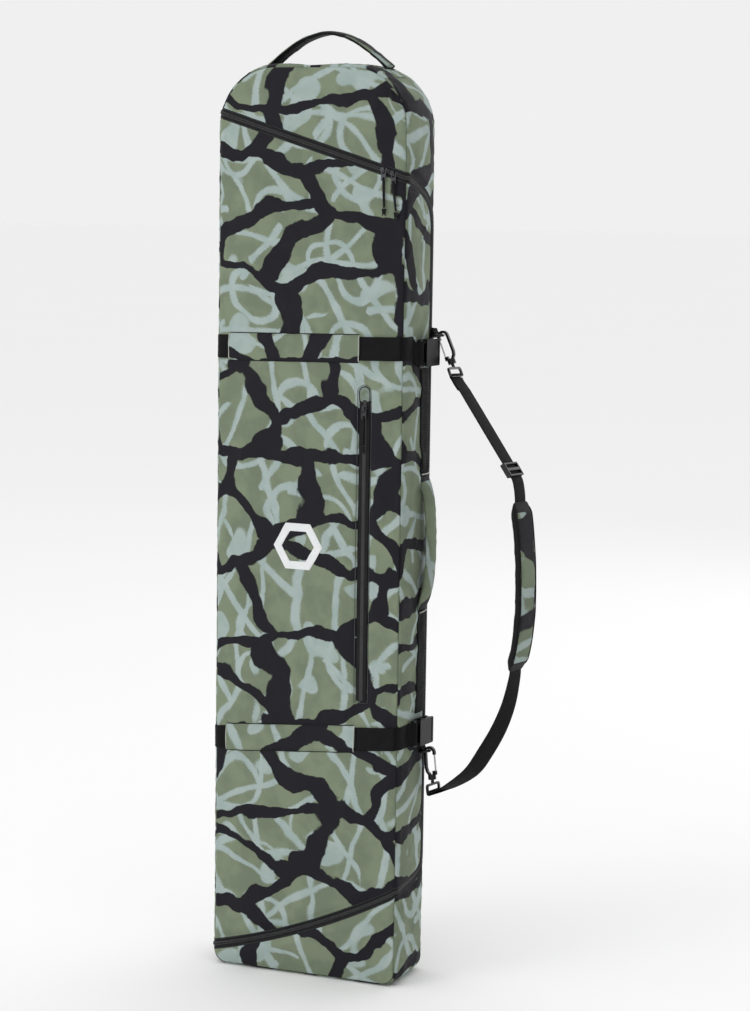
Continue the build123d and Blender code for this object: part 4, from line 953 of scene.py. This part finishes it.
STEP = 0.62
for sgn, body, rep, nm in ((1, "tub", "zip_tape_tub", "zip_half_tub"), (-1, "lid", "zip_tape_lid", "zip_half_lid")):
    P, N = zip_rows(sgn, WZ, STEP)
    # the tape bridges the turned cloth edges, so its line is evened out
    ref = zip_rows(sgn, C([9.5]), STEP)
    base = P + 0
    s = np.arange(len(P)) * STEP
    tooth = 0.32 * np.sin(s * 2 * math.pi / 2.5)
    hz = HZ[None] + tooth[:, None] * (WZ < 3.1)[None]
    corr = np.zeros_like(hz)
    o = lay(nm, (P, N), hz - zip_prof(WZ - ZB)[None] * (WZ > 4)[None], HZB, [M_TAPE, M_COIL], body, [rep],
            mi=[1, 1, 1, 1] + [0] * (2 * len(WZ) - 4))
    # top stitching along the tape edge
    st = zip_rows(sgn, C([7.9]), 5.0)
    pts, nr = st[0][:, 0], st[1][:, 0]
    Vs, Fs = [], []
    for i in range(len(pts) - 1):
        d = pts[i + 1] - pts[i]
        L = np.linalg.norm(d)
        if L < 2 or L > 9:
            continue
        d /= L
        a = pts[i] + nr[i] * 1.15
        side = np.cross(d, nr[i])
        c0 = a + d * 0.6; c1 = a + d * min(3.6, L - 0.8)
        k0 = len(Vs)
        for c in (c0, (c0 + c1) / 2 + nr[i] * 0.25, c1):
            Vs += [c + side * 0.3, c + nr[i] * 0.3, c - side * 0.3, c - nr[i] * 0.3]
        for q in (0, 4):
            for r in range(4):
                Fs.append((k0 + q + r, k0 + q + (r + 1) % 4, k0 + q + 4 + (r + 1) % 4, k0 + q + 4 + r))
        Fs += [(k0, k0 + 1, k0 + 2, k0 + 3), (k0 + 8, k0 + 9, k0 + 10, k0 + 11)]
    mk(nm + "_stitches", C(Vs), Fs, [M_THREAD_DK], body)

# ------------------------------------------------------------------ pocket
PX = 105.0
zs = np.concatenate([np.arange(492.0, 1043.0, 4.0), [1043.0]])
# frame of the pocket: two bound edges with a rounded top end
def welt_line(hw, z0, z1, n=14):
    t = np.linspace(0, math.pi, n)
    a = np.stack([PX - hw * np.cos(t), z1 - hw + hw * np.sin(t)], -1)
    b = np.stack([PX + hw * np.cos(t), z0 + 2 - 2 * np.sin(t)], -1)
    up = np.stack([np.full(90, PX - hw), np.linspace(z0 + 2, z1 - hw, 90)], -1)
    return np.concatenate([up[:-1], a, up[::-1][1:] * C([0, 1]) + C([PX + hw, 0]), b[1:]])


for hw, r, mt, nm, h0 in ((9.6, 1.0, M_EDGE, "pocket_binding", 0.5), (12.6, 0.45, M_THREAD_DK, "pocket_topstitch", 0.35)):
    q = welt_line(hw, 500 - (hw - 9.6), 1042 + (hw - 9.6))
    q = np.concatenate([q, q[:1]])
    P, N = face(q[:, 0], q[:, 1])
    tube(nm, P + N * h0, r, [mt], "lid", 8, rep=["pocket_welt"] if nm == "pocket_binding" else [])
w = C([-9.4, -8.0, -6.0, -4.2, -3.4, -2.6, -1.6, -0.15, 0.15, 1.6, 2.6, 3.4, 4.2, 6.0, 8.0, 9.4])
hw_ = C([0.1, 0.6, 0.6, 0.55, 0.9, 1.7, 2.1, 1.5, 1.5, 2.1, 1.7, 0.9, 0.55, 0.6, 0.6, 0.1])
zz = np.arange(501.0, 1020.0, 0.62)
P, N = face(PX + w[None] + 0 * zz[:, None], zz[:, None] + 0 * w[None])
tooth = 0.3 * np.sin(zz * 2 * math.pi / 2.5)[:, None] * (np.abs(w) < 3.2)[None] * np.where(w > 0, 1, -1)[None]
P = P - N * disp_face(PX + w[None] + 0 * zz[:, None], zz[:, None] + 0 * w[None])[..., None] + N * np.minimum(disp_face(C([PX + 14.0]), zz) * 0.8, 0.8).reshape(-1, 1, 1)
hv = hw_[None] + tooth
lay("pocket_zip_tape", (P, N), hv, -0.9, [M_TAPE, M_COIL], "lid", ["pocket_zip"],
    mi=[0, 0, 0, 0] + [1] * 7 + [0] * 21)
# cloth garage over the top end
zz = np.linspace(1016.0, 1041.0, 22)
w = np.linspace(-1, 1, 15)
hwz = np.where(zz < 1033, 9.0, 9.0 * np.sqrt(np.clip(1 - ((zz - 1033) / 8.6) ** 2, 0.02, 1)))
P, N = face(PX + w[None] * hwz[:, None], zz[:, None] + 0 * w[None])
lay("pocket_garage", (P, N), 1.0 + 1.3 * (1 - w[None] ** 2) ** 0.6 * np.ones((22, 1)), 0.1, [M_GARAGE], "lid", [], poff=(3.86, 0.97))
# pocket bag inside the lid
gx, gz = np.meshgrid(np.linspace(-58, 127, 30), np.linspace(482, 1050, 80), indexing="ij")
u, v = (gx + 58) / 185, (gz - 482) / 568
bulge = 2.0 * (np.sin(u * math.pi) * np.sin(v * math.pi)) ** 0.4 + 0.6 * vn(gx / 40, gz / 50, 61)
top = np.stack([gx, -58.9 + 0 * gx, gz], -1); bot = np.stack([gx, -57.6 + bulge, gz], -1)
slab("pocket_bag_lining", top, bot, [M_LINING], "lid", np.stack([gx, gz, 0 * gx], -1) * MM, ["pocket_bag"])

# ------------------------------------------------ plain white ring print (generic)
n6 = 180
t = np.linspace(0, 2 * math.pi, n6, endpoint=False)
hexr = 1 / np.cos(np.mod(t, math.pi / 3) - math.pi / 6) * math.cos(math.pi / 6)
rows_p, rows_n = [], []
for i in range(n6 + 1):
    a = t[i % n6]; h_ = hexr[i % n6]
    rad = np.linspace(30.0, 46.0, 9) * h_
    P, N = face(-14 + rad * math.cos(a + 0.0), 762 + rad * math.sin(a + 0.0))
    rows_p.append(P); rows_n.append(N)
lay("front_ring_print", (C(rows_p), C(rows_n)), 0.32, 0.05, [M_MARK], "lid", [])

# ================================================================== side handle
SHY = 22.0
wy = C([-19.0, -18.6, -17.6, -14, -9, -4.5, 0, 4.5, 9, 14, 17.6, 18.6, 19.0])
for nm, za, zb in (("upper", 886.0, 1071.0), ("lower", 473.0, 654.0)):
    z = np.arange(za, zb + 0.1, 0.8)
    P, N = rim(p_right(z)[:, None] + 0 * wy[None], SHY + wy[None] + 0 * z[:, None])
    P, N = flat_rows((P, N), 24)
    rib = 0.42 * np.sin(z * 2 * math.pi / 4.8)[:, None] * (np.abs(wy) < 17)[None]
    lay("side_handle_webbing_" + nm, (P, N), WTOP[None] + 0.3 + rib, C([0.9] + [0.2] * 11 + [0.9]), [M_WEB_C], "lid", ["side_handle_web_" + nm])

gl_ = catmull([(178.6, 892), (181.5, 880), (189.5, 850), (194, 810), (195, 770), (194, 730), (189.5, 690), (181.5, 660), (178.6, 648)], 10)
gl_ = resample(gl_, 2.0)
Cn = np.stack([gl_[:, 0], np.full(len(gl_), SHY), gl_[:, 1]], -1)
T = unitv(np.gradient(Cn, axis=0))
A = np.broadcast_to(C([0, 1.0, 0]), Cn.shape)
B = np.cross(A, T)
B = B * np.sign(B[:, :1])
th = np.linspace(0, 2 * math.pi, 48, endpoint=False)
s = np.linspace(0, 1, len(Cn))
endf = np.minimum(sst(0, 0.12, s), sst(0, 0.12, 1 - s))
hwg, htg = 20.5 - 1.2 * endf, 1.6 + 4.4 * endf
sup = lambda c, e: np.sign(c) * np.abs(c) ** e
ca, sa = sup(np.cos(th), 0.75), sup(np.sin(th), 0.9)
crease = 0.5 * np.exp(-((np.abs(ca * 20) - 7.0) / 1.3) ** 2)
sec = np.stack([hwg[:, None] * ca[None], (htg[:, None] - (crease[None] * endf[:, None])) * sa[None]], -1)
wr = 0.55 * vn(s[:, None] * 26, th[None] * 1.2, 71) * endf[:, None]
sec = sec * (1 + wr / 12)[..., None]
grip = sweep("side_handle_padded_grip", Cn, A, B, sec, [M_PRINT_DK], "lid", ["side_handle_grip"],
             patw=(th * 13.0)[None] + 0 * s[:, None], poff=(4.2, 0.15))
# raw light ends and bar tacks
for zc, nm in ((890.0, "top"), (650.0, "bottom")):
    P, N = rim(p_right(zc) + 0 * wy, SHY + np.linspace(-20, 20, len(wy)))
    tube("grip_end_" + nm, P + C([1, 0, 0]) * 4.2, 1.0, [M_THREAD], "lid", 8)

# =================================================================== top handle
THX0, THX1, THZ = -98.0, 108.0, H + 4.2
cxh = (THX0 + THX1) / 2
arch = catmull([(THX0 - 7, THZ - 6.2), (THX0 + 3, THZ + 2.5), (THX0 + 20, THZ + 16), (THX0 + 50, THZ + 36), (cxh - 26, THZ + 47), (cxh, THZ + 51.2), (cxh + 26, THZ + 47),
                (THX1 - 50, THZ + 36), (THX1 - 20, THZ + 16), (THX1 - 3, THZ + 2.5), (THX1 + 7, THZ - 6.2)], 12)
arch = resample(arch, 2.2)
Cn = np.stack([arch[:, 0], 0 * arch[:, 0], arch[:, 1]], -1)
T = unitv(np.gradient(Cn, axis=0))
A = np.broadcast_to(C([0, 1.0, 0]), Cn.shape)
B = np.cross(T, A); B = B * np.sign(B[:, 2:3] + 1e-9)
s = np.linspace(0, 1, len(Cn))
e = np.minimum(s, 1 - s)
hwh = 17.0 + 2.0 * sst(0.02, 0.14, e) - 1.0 * sst(0.3, 0.5, e)
hth = 4.0 + 1.6 * (1 - sst(0.0, 0.10, e)) - 0.5 * sst(0.25, 0.5, e)
ca, sa = sup(np.cos(th), 0.55), sup(np.sin(th), 0.85)
sec = np.stack([hwh[:, None] * ca[None], hth[:, None] * sa[None]], -1)
sec[..., 1] += 0.5 * vn(s[:, None] * 24, ca[None] * 1.5, 81) * sst(0.05, 0.15, e)[:, None]
# Painted shade: the underside of the arch gets the near-black binding cloth, standing in for the print in shadow under
# the handle.
mi = [0 if sa[k] > 0.0 or sa[(k + 1) % 48] > 0.0 else 1 for k in range(48)]
handle = sweep("top_handle_arch", Cn, A, B, sec, [M_PRINT_DK, M_EDGE], None, ["top_handle"], mi=mi,
               patw=(th * 9.0)[None] + 0 * s[:, None], poff=(5.4, 0.4))
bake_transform(handle)
for sg, nm in ((-1, "a"), (1, "b")):
    P = Cn + A * (sg * (hwh - 0.2))[:, None]
    pip = tube("handle_piping_" + nm, P, 1.15, [M_EDGE], None, 8)
    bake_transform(pip)
for x0, x1, nm in ((-124.0, -76.0, "left"), (86.0, 134.0, "right")):
    # folded patch that anchors the handle
    xx = np.linspace(x0, x1, 26)
    yy = np.concatenate([[-20, -19.4, -18.2], np.linspace(-16, 16, 9), [18.2, 19.4, 20]])
    pp = np.interp(xx, [-70 - RT, -70, 70, 70 + RT], [CUM[5], CUM[5], CUM[4], CUM[4]])
    pos = CUM[4] + (70 - xx)
    ang = np.where(xx > 70, np.arccos(np.clip((xx - 70) / RT, 0, 1)), np.where(xx < -70, np.arccos(np.clip((-xx - 70) / RT, 0, 1)), 0))
    pos = np.where(xx > 70, CUM[3] + RT * ang, np.where(xx < -70, CUM[6] - RT * ang, pos))
    P, N = rim(pos[:, None] + 0 * yy[None], yy[None] + 0 * xx[:, None])
    hgt = 0.9 + 1.2 * np.exp(-((yy[None]) / 15.0) ** 4) + 0.9 * np.exp(-(((xx - (x0 + x1) / 2)[:, None]) / 11.0) ** 2)
    hgt = hgt * np.ones((26, 1))
    lay("handle_anchor_" + nm, (P, N), hgt, 0.1, [M_PRINT], "tub", ["top_handle_tab_" + nm], poff=(6.1 + x0 * MM, 0.6))

# =============================================================== shoulder strap
PL = C([196.0, 31.0, 403.0]); PU = C([197.0, 55.6, 1126.0])
AL = math.radians(-7.0)
ER = C([math.cos(AL), math.sin(AL), 0])
AX = (PU - PL) / np.linalg.norm(PU - PL)
NN = np.cross(ER, AX); NN /= np.linalg.norm(NN)
EV = np.cross(NN, ER)


def sp(q, c=0.0):
    q = np.asarray(q, float)
    return PL + q[..., 0:1] * ER + q[..., 1:2] * EV + NN * c


def unit2(a, b):
    d = C(b) - C(a)
    return d / np.linalg.norm(d)


UPL, LOOP_U, LOOP_L = (-2.0, 723.4), (24.7, 661.8), (9.2, -64.5)
NBU = C(LOOP_U) + unit2(UPL, LOOP_U) * 7.1
NBL = C(LOOP_L) + unit2((0, 0), LOOP_L) * 7.1
TG_A, TG_B = (145.8, 493.4), (44.5, 631.0)


def strap_sweep(name, pts2, hw, ht, mats, body, rep, twist=None, sec=None, mi=None, poff=(0, 0), step=1.6, patw=None):
    q = resample(pts2, step)
    Cn = sp(q)
    T = unitv(np.gradient(Cn, axis=0))
    A = np.broadcast_to(NN, Cn.shape)
    B = np.cross(T, A)
    if twist is not None:
        s = np.linspace(0, 1, len(q))
        a = np.radians(twist(s))[:, None]
        A, B = A * np.cos(a) + B * np.sin(a), -A * np.sin(a) + B * np.cos(a)
    if sec is None:
        sec = rrect(hw, ht, ht * 0.9)
    elif callable(sec):
        sec = sec(len(q))
    return sweep(name, Cn, A, B, sec, mats, body, rep, mi=mi, poff=poff, patw=patw)


def eye(bar, toward, r=3.6):
    """Fold of webbing round a bar: comes in along one side and lies back along the strap."""
    u = unit2(bar, toward)
    a0 = math.atan2(u[1], u[0])
    t = np.linspace(a0 + math.radians(80), a0 + math.radians(280), 14)
    return C(bar) + np.stack([np.cos(t), np.sin(t)], -1) * r


_m = sp(C([[60.0, 610.0]]))[0]
_t = unitv(sp(C([TG_A]))[0] - sp(C([TG_B]))[0])
_c = unitv(cpos / MM - _m)
TW_UP = -1.5 * np.sign((NN @ _c) * (np.cross(_t, NN) @ _c))
up_a = catmull([NBU + C([1.1, -3.0]), NBU + C([4.0, -9.0]), C(TG_B)], 6)
up_b = catmull([TG_A, (151.2, 484.0), (154.8, 470.0), (156.9, 455.0), (158.3, 430.0)], 6)
uq = np.concatenate([up_a, up_b])
# the upper run turns a little between the ring and the adjuster
s_tg = 0.78
strap_sweep("shoulder_webbing_upper", uq, 19, 1.1, [M_WEB], "strap", ["strap_web_upper"],
            twist=lambda s: TW_UP * np.sin(math.pi * np.clip(s / s_tg, 0, 1)) ** 0.8)
e_ = eye(NBU, TG_B)
e_ = np.concatenate([e_, [e_[-1] + unit2(NBU, TG_B) * 14, e_[-1] + unit2(NBU, TG_B) * 26 + C([0.8, 0.6])]])
strap_sweep("shoulder_webbing_eye_upper", e_, 18.6, 0.95, [M_WEB], "strap", [])
_m = sp(C([[104.0, 3.2]]))[0]
_t = unitv(sp(C([[66.8, -40.5]]))[0] - sp(C([[149.0, 97.5]]))[0])
_c = unitv(cpos / MM - _m)
TW_LO = -27.0 * np.sign((NN @ _c) * (np.cross(_t, NN) @ _c))
lq = catmull([(161.0, 178.0), (160.4, 165.0), (158.4, 142.7), (149.0, 97.5), (131.0, 51.0), (104.0, 3.2), (87.0, -22.0), (66.8, -40.5), (38.0, -60.0), (NBL[0] + 3.2, NBL[1] - 0.6)], 8)
strap_sweep("shoulder_webbing_lower", lq, 19, 1.1, [M_WEB], "strap", ["strap_web_lower"],
            twist=lambda s: TW_LO * np.sin(math.pi * np.clip(s * 1.0, 0, 1) ** 1.35) ** 0.9)
e_ = eye(NBL, (38.0, -60.0))
e_ = np.concatenate([e_, [e_[-1] + unit2(NBL, (38, -60)) * 12, e_[-1] + unit2(NBL, (38, -60)) * 22]])
strap_sweep("shoulder_webbing_eye_lower", e_, 18.6, 0.95, [M_WEB], "strap", [])

# pad
pad_q = catmull([(157.3, 448), (163.5, 412), (167.4, 381), (171.4, 342), (173.3, 304), (174.0, 275), (173.6, 250), (169.0, 203), (160.0, 160)], 10)
NP_ = 56


def pad_sec(n):
    s = np.linspace(0, 1, n)
    L = 292.0
    d = np.minimum(s, 1 - s) * L
    hw = 21 + 11 * np.sqrt(np.clip(1 - (1 - np.clip(d / 26, 0, 1)) ** 2, 0, 1))
    ht = 2.4 + 4.3 * sst(0, 22, d)
    t = np.linspace(0, 2 * math.pi, NP_, endpoint=False)
    a, b = sup(np.cos(t), 0.42), sup(np.sin(t), 0.62)
    flat = np.exp(-((np.abs(a) - 0.86) / 0.05) ** 2)
    out = np.stack([hw[:, None] * a[None], (ht[:, None] * (1 - 0.13 * flat[None] * sst(10, 24, d)[:, None])) * b[None]], -1)
    out[..., 1] += (0.6 * vn(s[:, None] * 16, a[None] * 2.0, 101) + 0.35 * vn(s[:, None] * 45, a[None] * 4.0, 102)) * sst(4, 20, d)[:, None]
    return out


t_ = np.linspace(0, 2 * math.pi, NP_, endpoint=False)
pad = strap_sweep("shoulder_pad_shell", pad_q, 0, 0, [M_EDGE], "strap", ["shoulder_pad"], sec=pad_sec,
                  patw=(t_ * 20.0)[None] + np.zeros((len(resample(pad_q, 1.6)), 1)), poff=(7.2, 0.2))
me = pad.data
me.materials.append(M_PRINT_DK)
me.materials.append(M_MESH)
q = resample(pad_q, 1.6)
Cn = sp(q)
T = unitv(np.gradient(Cn, axis=0)); A = np.broadcast_to(NN, Cn.shape); B = np.cross(T, A)
co = np.zeros(len(me.vertices) * 3); me.vertices.foreach_get("co", co); co = co.reshape(-1, 3) / MM
outward = np.sign((B @ ER).mean())
mats_i = []
for pgn in me.polygons:
    vi = list(pgn.vertices)
    r = min(vi[0] // NP_, len(Cn) - 1)
    c = co[vi].mean(0) - Cn[r]
    w_, b_ = c @ A[r], (c @ B[r]) * outward
    dd = min(r, len(Cn) - 1 - r) * 1.6
    mats_i.append(1 if (b_ > 2.5 and abs(w_) < 27.6 and dd > 17) else (2 if (b_ < -2.5 and abs(w_) < 28 and dd > 12) else 0))
me.polygons.foreach_set("material_index", mats_i)
for sg, nm in ((-1, "a"), (1, "b")):
    d = np.minimum(np.arange(len(Cn)), len(Cn) - 1 - np.arange(len(Cn))) * 1.6
    hw = 21 + 11 * np.sqrt(np.clip(1 - (1 - np.clip(d / 26, 0, 1)) ** 2, 0, 1))
    P = Cn + A * (sg * (hw - 3.6))[:, None] + B * outward * (2.2 + 4.3 * sst(0, 22, d) - 0.7)[:, None]
    tube("pad_piping_" + nm, P[6:-6], 0.9, [M_EDGE], "strap", 8)

# ring tabs
for nm, pt, zc in (("upper", PU, 1140.0), ("lower", PL, 425.0)):
    c0 = pt - ER * 15.2
    hw = 8.8
    t = np.radians(np.linspace(-60, 240, 22))
    loop = np.stack([c0[0] + 3.6 * np.cos(t), np.full(22, 0.0), c0[2] + 3.6 * np.sin(t)], -1)
    if nm == "upper":
        path = [(180.2, 57.5, 1138), (179.8, 57.4, 1134), (179.4, 56.8, 1130)]
        path = [C(p) for p in path] + [c0 + C([-3.2, 0, 2.4]), c0 + C([-3.6, 0, -0.6]), c0 + C([-2.2, 0, -3.0]), c0 + C([0.4, 0, -3.7]), c0 + C([3.0, 0, -2.2]), c0 + C([3.7, 0, 0.6]), c0 + C([2.4, 0, 3.2]), c0 + C([0.4, 0, 7.0]), C([181.2, 57.0, 1134]), C([181.4, 57.5, 1138])]
    else:
        path = [C([178.2, 33.0, 420]), C([178.4, 33.0, 412])] + [c0 + C([-3.2, 0, 2.4]), c0 + C([-3.6, 0, -0.6]), c0 + C([-2.2, 0, -3.0]), c0 + C([0.4, 0, -3.7]), c0 + C([3.0, 0, -2.2]), c0 + C([3.7, 0, 0.6]), c0 + C([2.4, 0, 3.2]), c0 + C([0.2, 0, 8.0]), C([180.4, 33.0, 416]), C([180.6, 33.0, 421])]
    L = resample(catmull(path, 6), 1.0)
    T = unitv(np.gradient(L, axis=0))
    A = np.broadcast_to(C([-ER[1], ER[0], 0.0]), L.shape)
    B = unitv(np.cross(T, A)); A = unitv(np.cross(B, T))
    sweep("ring_tab_webbing_" + nm, L, A, B, rrect(hw, 0.95, 0.8), [M_WEB], "tub", ["ring_tab_" + nm])

# ==================================================================== pull cords
CORD_PTS = [(1.45, -46.0), (1.75, -36.0), (2.35, -26.0), (2.55, -17.0), (2.75, -10.0), (2.60, -5.0), (2.85, -1.0), (2.70, 3.2),
            (-2.70, 3.2), (-2.85, -1.0), (-2.60, -5.0), (-2.75, -10.0), (-2.55, -17.0), (-2.35, -26.0), (-1.75, -36.0), (-1.45, -46.0)]


def trefoil(n=90):
    t = np.linspace(0, 2 * math.pi, n)
    return np.stack([np.sin(t) + 2 * np.sin(2 * t), np.cos(t) - 2 * np.cos(2 * t), -np.sin(3 * t)], -1) / 3.0


for nm, x, foot, lean, yc, body, length in (("main_a", 134.0, 1389.63, 1.5, -69.05, "main_pull_a", 0.10237), ("main_b", 152.0, 1384.08, 5.0, -69.05, "main_pull_b", 0.10288),
                                            ("pocket", 105.0, 988.0, -1.0, -70.55, "pocket_pull", 0.10234)):
    node = {"main_a": "main_cord_a", "main_b": "main_cord_b", "pocket": "pocket_cord"}[nm]
    kn = node.replace("cord", "knot")
    P = [C([x + lean * ((3.2 - h) / 49.2) ** 1.5, yc - a, foot + h]) for a, h in CORD_PTS]
    cu_ = bpy.data.curves.new(nm + "_pull_cord", "CURVE")
    cu_.dimensions = "3D"
    spl = cu_.splines.new("NURBS")
    spl.points.add(len(P) - 1)
    for i, q in enumerate(P):
        spl.points[i].co = (*(q * MM), 1.0)
    spl.order_u = 3
    spl.use_endpoint_u = True
    spl.resolution_u = 12
    cu_.bevel_depth = 1.2 * MM
    cu_.bevel_resolution = 4
    cu_.use_fill_caps = True
    cu_.materials.append(M_CORD)
    ob = bpy.data.objects.new(nm + "_pull_cord", cu_)
    bpy.context.scene.collection.objects.link(ob)
    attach(ob, body)
    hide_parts(node)
    m = (P[0] + P[-1]) / 2
    K = trefoil() * C([3.1, 3.1, 3.1])
    K = np.stack([K[:, 0], K[:, 2] * 1.5, K[:, 1] * 1.15], -1) + m + C([0, 0, -5.2])
    knot = tube(nm + "_pull_knot", K, 1.35, [M_CORD], body, 10, rep=[kn])
    for sgn in (-1, 1):
        tp = catmull([m + C([sgn * 0.8, sgn * 0.5, -7.0]), m + C([sgn * 1.3, sgn * 0.8, -10.0]), m + C([sgn * 2.2, sgn * 1.2, -13.0])], 5)
        tube("%s_pull_tail_%s" % (nm, "a" if sgn < 0 else "b"), tp, 1.15, [M_CORD], body, 10,
                          taper=np.concatenate([np.ones(len(tp) - 2), [1.15, 0.8]]))

# sprung gates: one closed bow of bright wire each
for nm, ax in (("upper", (-0.390934, 0.079357, 0.916991)), ("lower", (-0.136062, 0.050539, 0.98941))):
    o = NODES["gate_" + nm]
    vv = C([list(o.matrix_world @ v.co) for v in o.data.vertices]) / MM
    ax = unitv(C(ax))
    c0 = (vv.max(0) + vv.min(0)) / 2
    pr = (vv - c0) @ ax
    h = (pr.max() - pr.min()) / 2 - 0.4
    c0 = c0 + ax * (pr.max() + pr.min()) / 2
    w_ = NN * 1.3
    tube("gate_bow_" + nm, catmull([c0 - ax * h + w_, c0 + w_, c0 + ax * (h - 1.4) + w_, c0 + ax * h + w_ * 0.5, c0 + ax * h - w_ * 0.5,
                                    c0 + ax * (h - 1.4) - w_, c0 - w_, c0 - ax * h - w_], 6), 0.8, [M_WIRE], "gate_" + nm, 10,
         rep=["gate_" + nm])

# =================================================== moulded and cast CAD pieces
MATS = dict(acetal=M_ACETAL, metal=M_METAL, wire=M_WIRE, slider=M_SLIDER)
for name, o in NODES.items():
    kind = None
    if name.startswith(("buckle_", "release_arm", "tri_glide")):
        kind = "acetal"
    elif name.startswith(("d_ring", "hook_", "swivel_loop")):
        kind = "metal"
    elif name.startswith("gate_"):
        kind = "wire"
    elif name.startswith(("main_slider", "pocket_slider", "main_pull", "pocket_pull")):
        kind = "slider"
    if kind and not o.hide_render:
        o.data.materials.clear()
        o.data.materials.append(MATS[kind])
        wd = o.modifiers.new("weld", "WELD")
        wd.merge_threshold = 2e-5
        bv = o.modifiers.new("bevel", "BEVEL")
        bv.width = 0.0011 if kind == "acetal" else 0.0004
        bv.segments = 3 if kind == "acetal" else 2
        bv.limit_method = "ANGLE"
        bv.angle_limit = math.radians(40)
        bv.harden_normals = False
        for pgn in o.data.polygons:
            pgn.use_smooth = False

# ============================================================= floor and lighting
rad = [0.8, 1.6, 3.0, 6.0, 12.0, 24.0, 60.0]
nb = 96
V = [(r * math.cos(2 * math.pi * k / nb), r * math.sin(2 * math.pi * k / nb), 0.0) for r in rad for k in range(nb)] + [(0, 0, 0)]
F = [(i * nb + k, (i + 1) * nb + k, (i + 1) * nb + (k + 1) % nb, i * nb + (k + 1) % nb) for i in range(len(rad) - 1) for k in range(nb)]
F += [(len(V) - 1, k, (k + 1) % nb) for k in range(nb)]
me = bpy.data.meshes.new("studio_floor")
me.from_pydata(V, [], F)
me.polygons.foreach_set("use_smooth", [True] * len(F))
floor = bpy.data.objects.new("studio_floor", me)
bpy.context.scene.collection.objects.link(floor)
g = G("floor_paint")
P = g.obj()
g.set(color=g.mix(g.noise(P, 0.6, 2.0), (0.93, 0.93, 0.93, 1), (0.94, 0.94, 0.94, 1)), rough=0.95, spec=0.05)
me.materials.append(g.mat)

world = bpy.data.worlds.new("studio_world")
bpy.context.scene.world = world
world.use_nodes = True
world.node_tree.nodes["Background"].inputs[0].default_value = (1, 1, 1, 1)
world.node_tree.nodes["Background"].inputs[1].default_value = 0.87
wt = world.node_tree
wc = wt.nodes.new("ShaderNodeTexCoord")
wd_ = wt.nodes.new("ShaderNodeVectorMath")
wd_.operation = "DOT_PRODUCT"
wd_.inputs[1].default_value = (0.90, -0.43, 0.0)
wt.links.new(wc.outputs["Generated"], wd_.inputs[0])
wr_ = wt.nodes.new("ShaderNodeMapRange")
wr_.interpolation_type = "SMOOTHSTEP"
for k_, v_ in (("From Min", 0.05), ("From Max", 0.85), ("To Min", 0.87), ("To Max", 0.40)):
    wr_.inputs[k_].default_value = v_
wt.links.new(wd_.outputs["Value"], wr_.inputs["Value"])
ws_ = wt.nodes.new("ShaderNodeSeparateXYZ")
wt.links.new(wc.outputs["Generated"], ws_.inputs[0])
wz_ = wt.nodes.new("ShaderNodeMapRange")
wz_.interpolation_type = "SMOOTHSTEP"
for k_, v_ in (("From Min", 0.25), ("From Max", 0.90), ("To Min", 0.0), ("To Max", 0.24)):
    wz_.inputs[k_].default_value = v_
wt.links.new(ws_.outputs[2], wz_.inputs["Value"])
wa_ = wt.nodes.new("ShaderNodeMath")
wa_.operation = "ADD"
wt.links.new(wr_.outputs[0], wa_.inputs[0])
wt.links.new(wz_.outputs[0], wa_.inputs[1])
wt.links.new(wa_.outputs[0], wt.nodes["Background"].inputs[1])


def area(name, loc, target, size, power, color=(1, 1, 1)):
    L = bpy.data.lights.new(name, "AREA")
    L.shape = "RECTANGLE"
    L.size, L.size_y = size
    L.energy = power
    L.color = color
    o = bpy.data.objects.new(name, L)
    o.location = loc
    o.rotation_mode = "QUATERNION"
    o.rotation_quaternion = (Vector(target) - Vector(loc)).to_track_quat("-Z", "Y")
    bpy.context.scene.collection.objects.link(o)


area("key", (-3.2, -4.6, 2.3), (0, 0, 0.9), (2.4, 3.0), 66)
area("fill", (4.6, -3.0, 1.6), (0, 0, 0.8), (2.4, 3.0), 8)
area("back", (1.5, 4.5, 2.4), (0, 0, 0.9), (3.0, 2.0), 22)
area("over", (0, 0, 6.5), (0, 0, 0), (6.0, 6.0), 22)
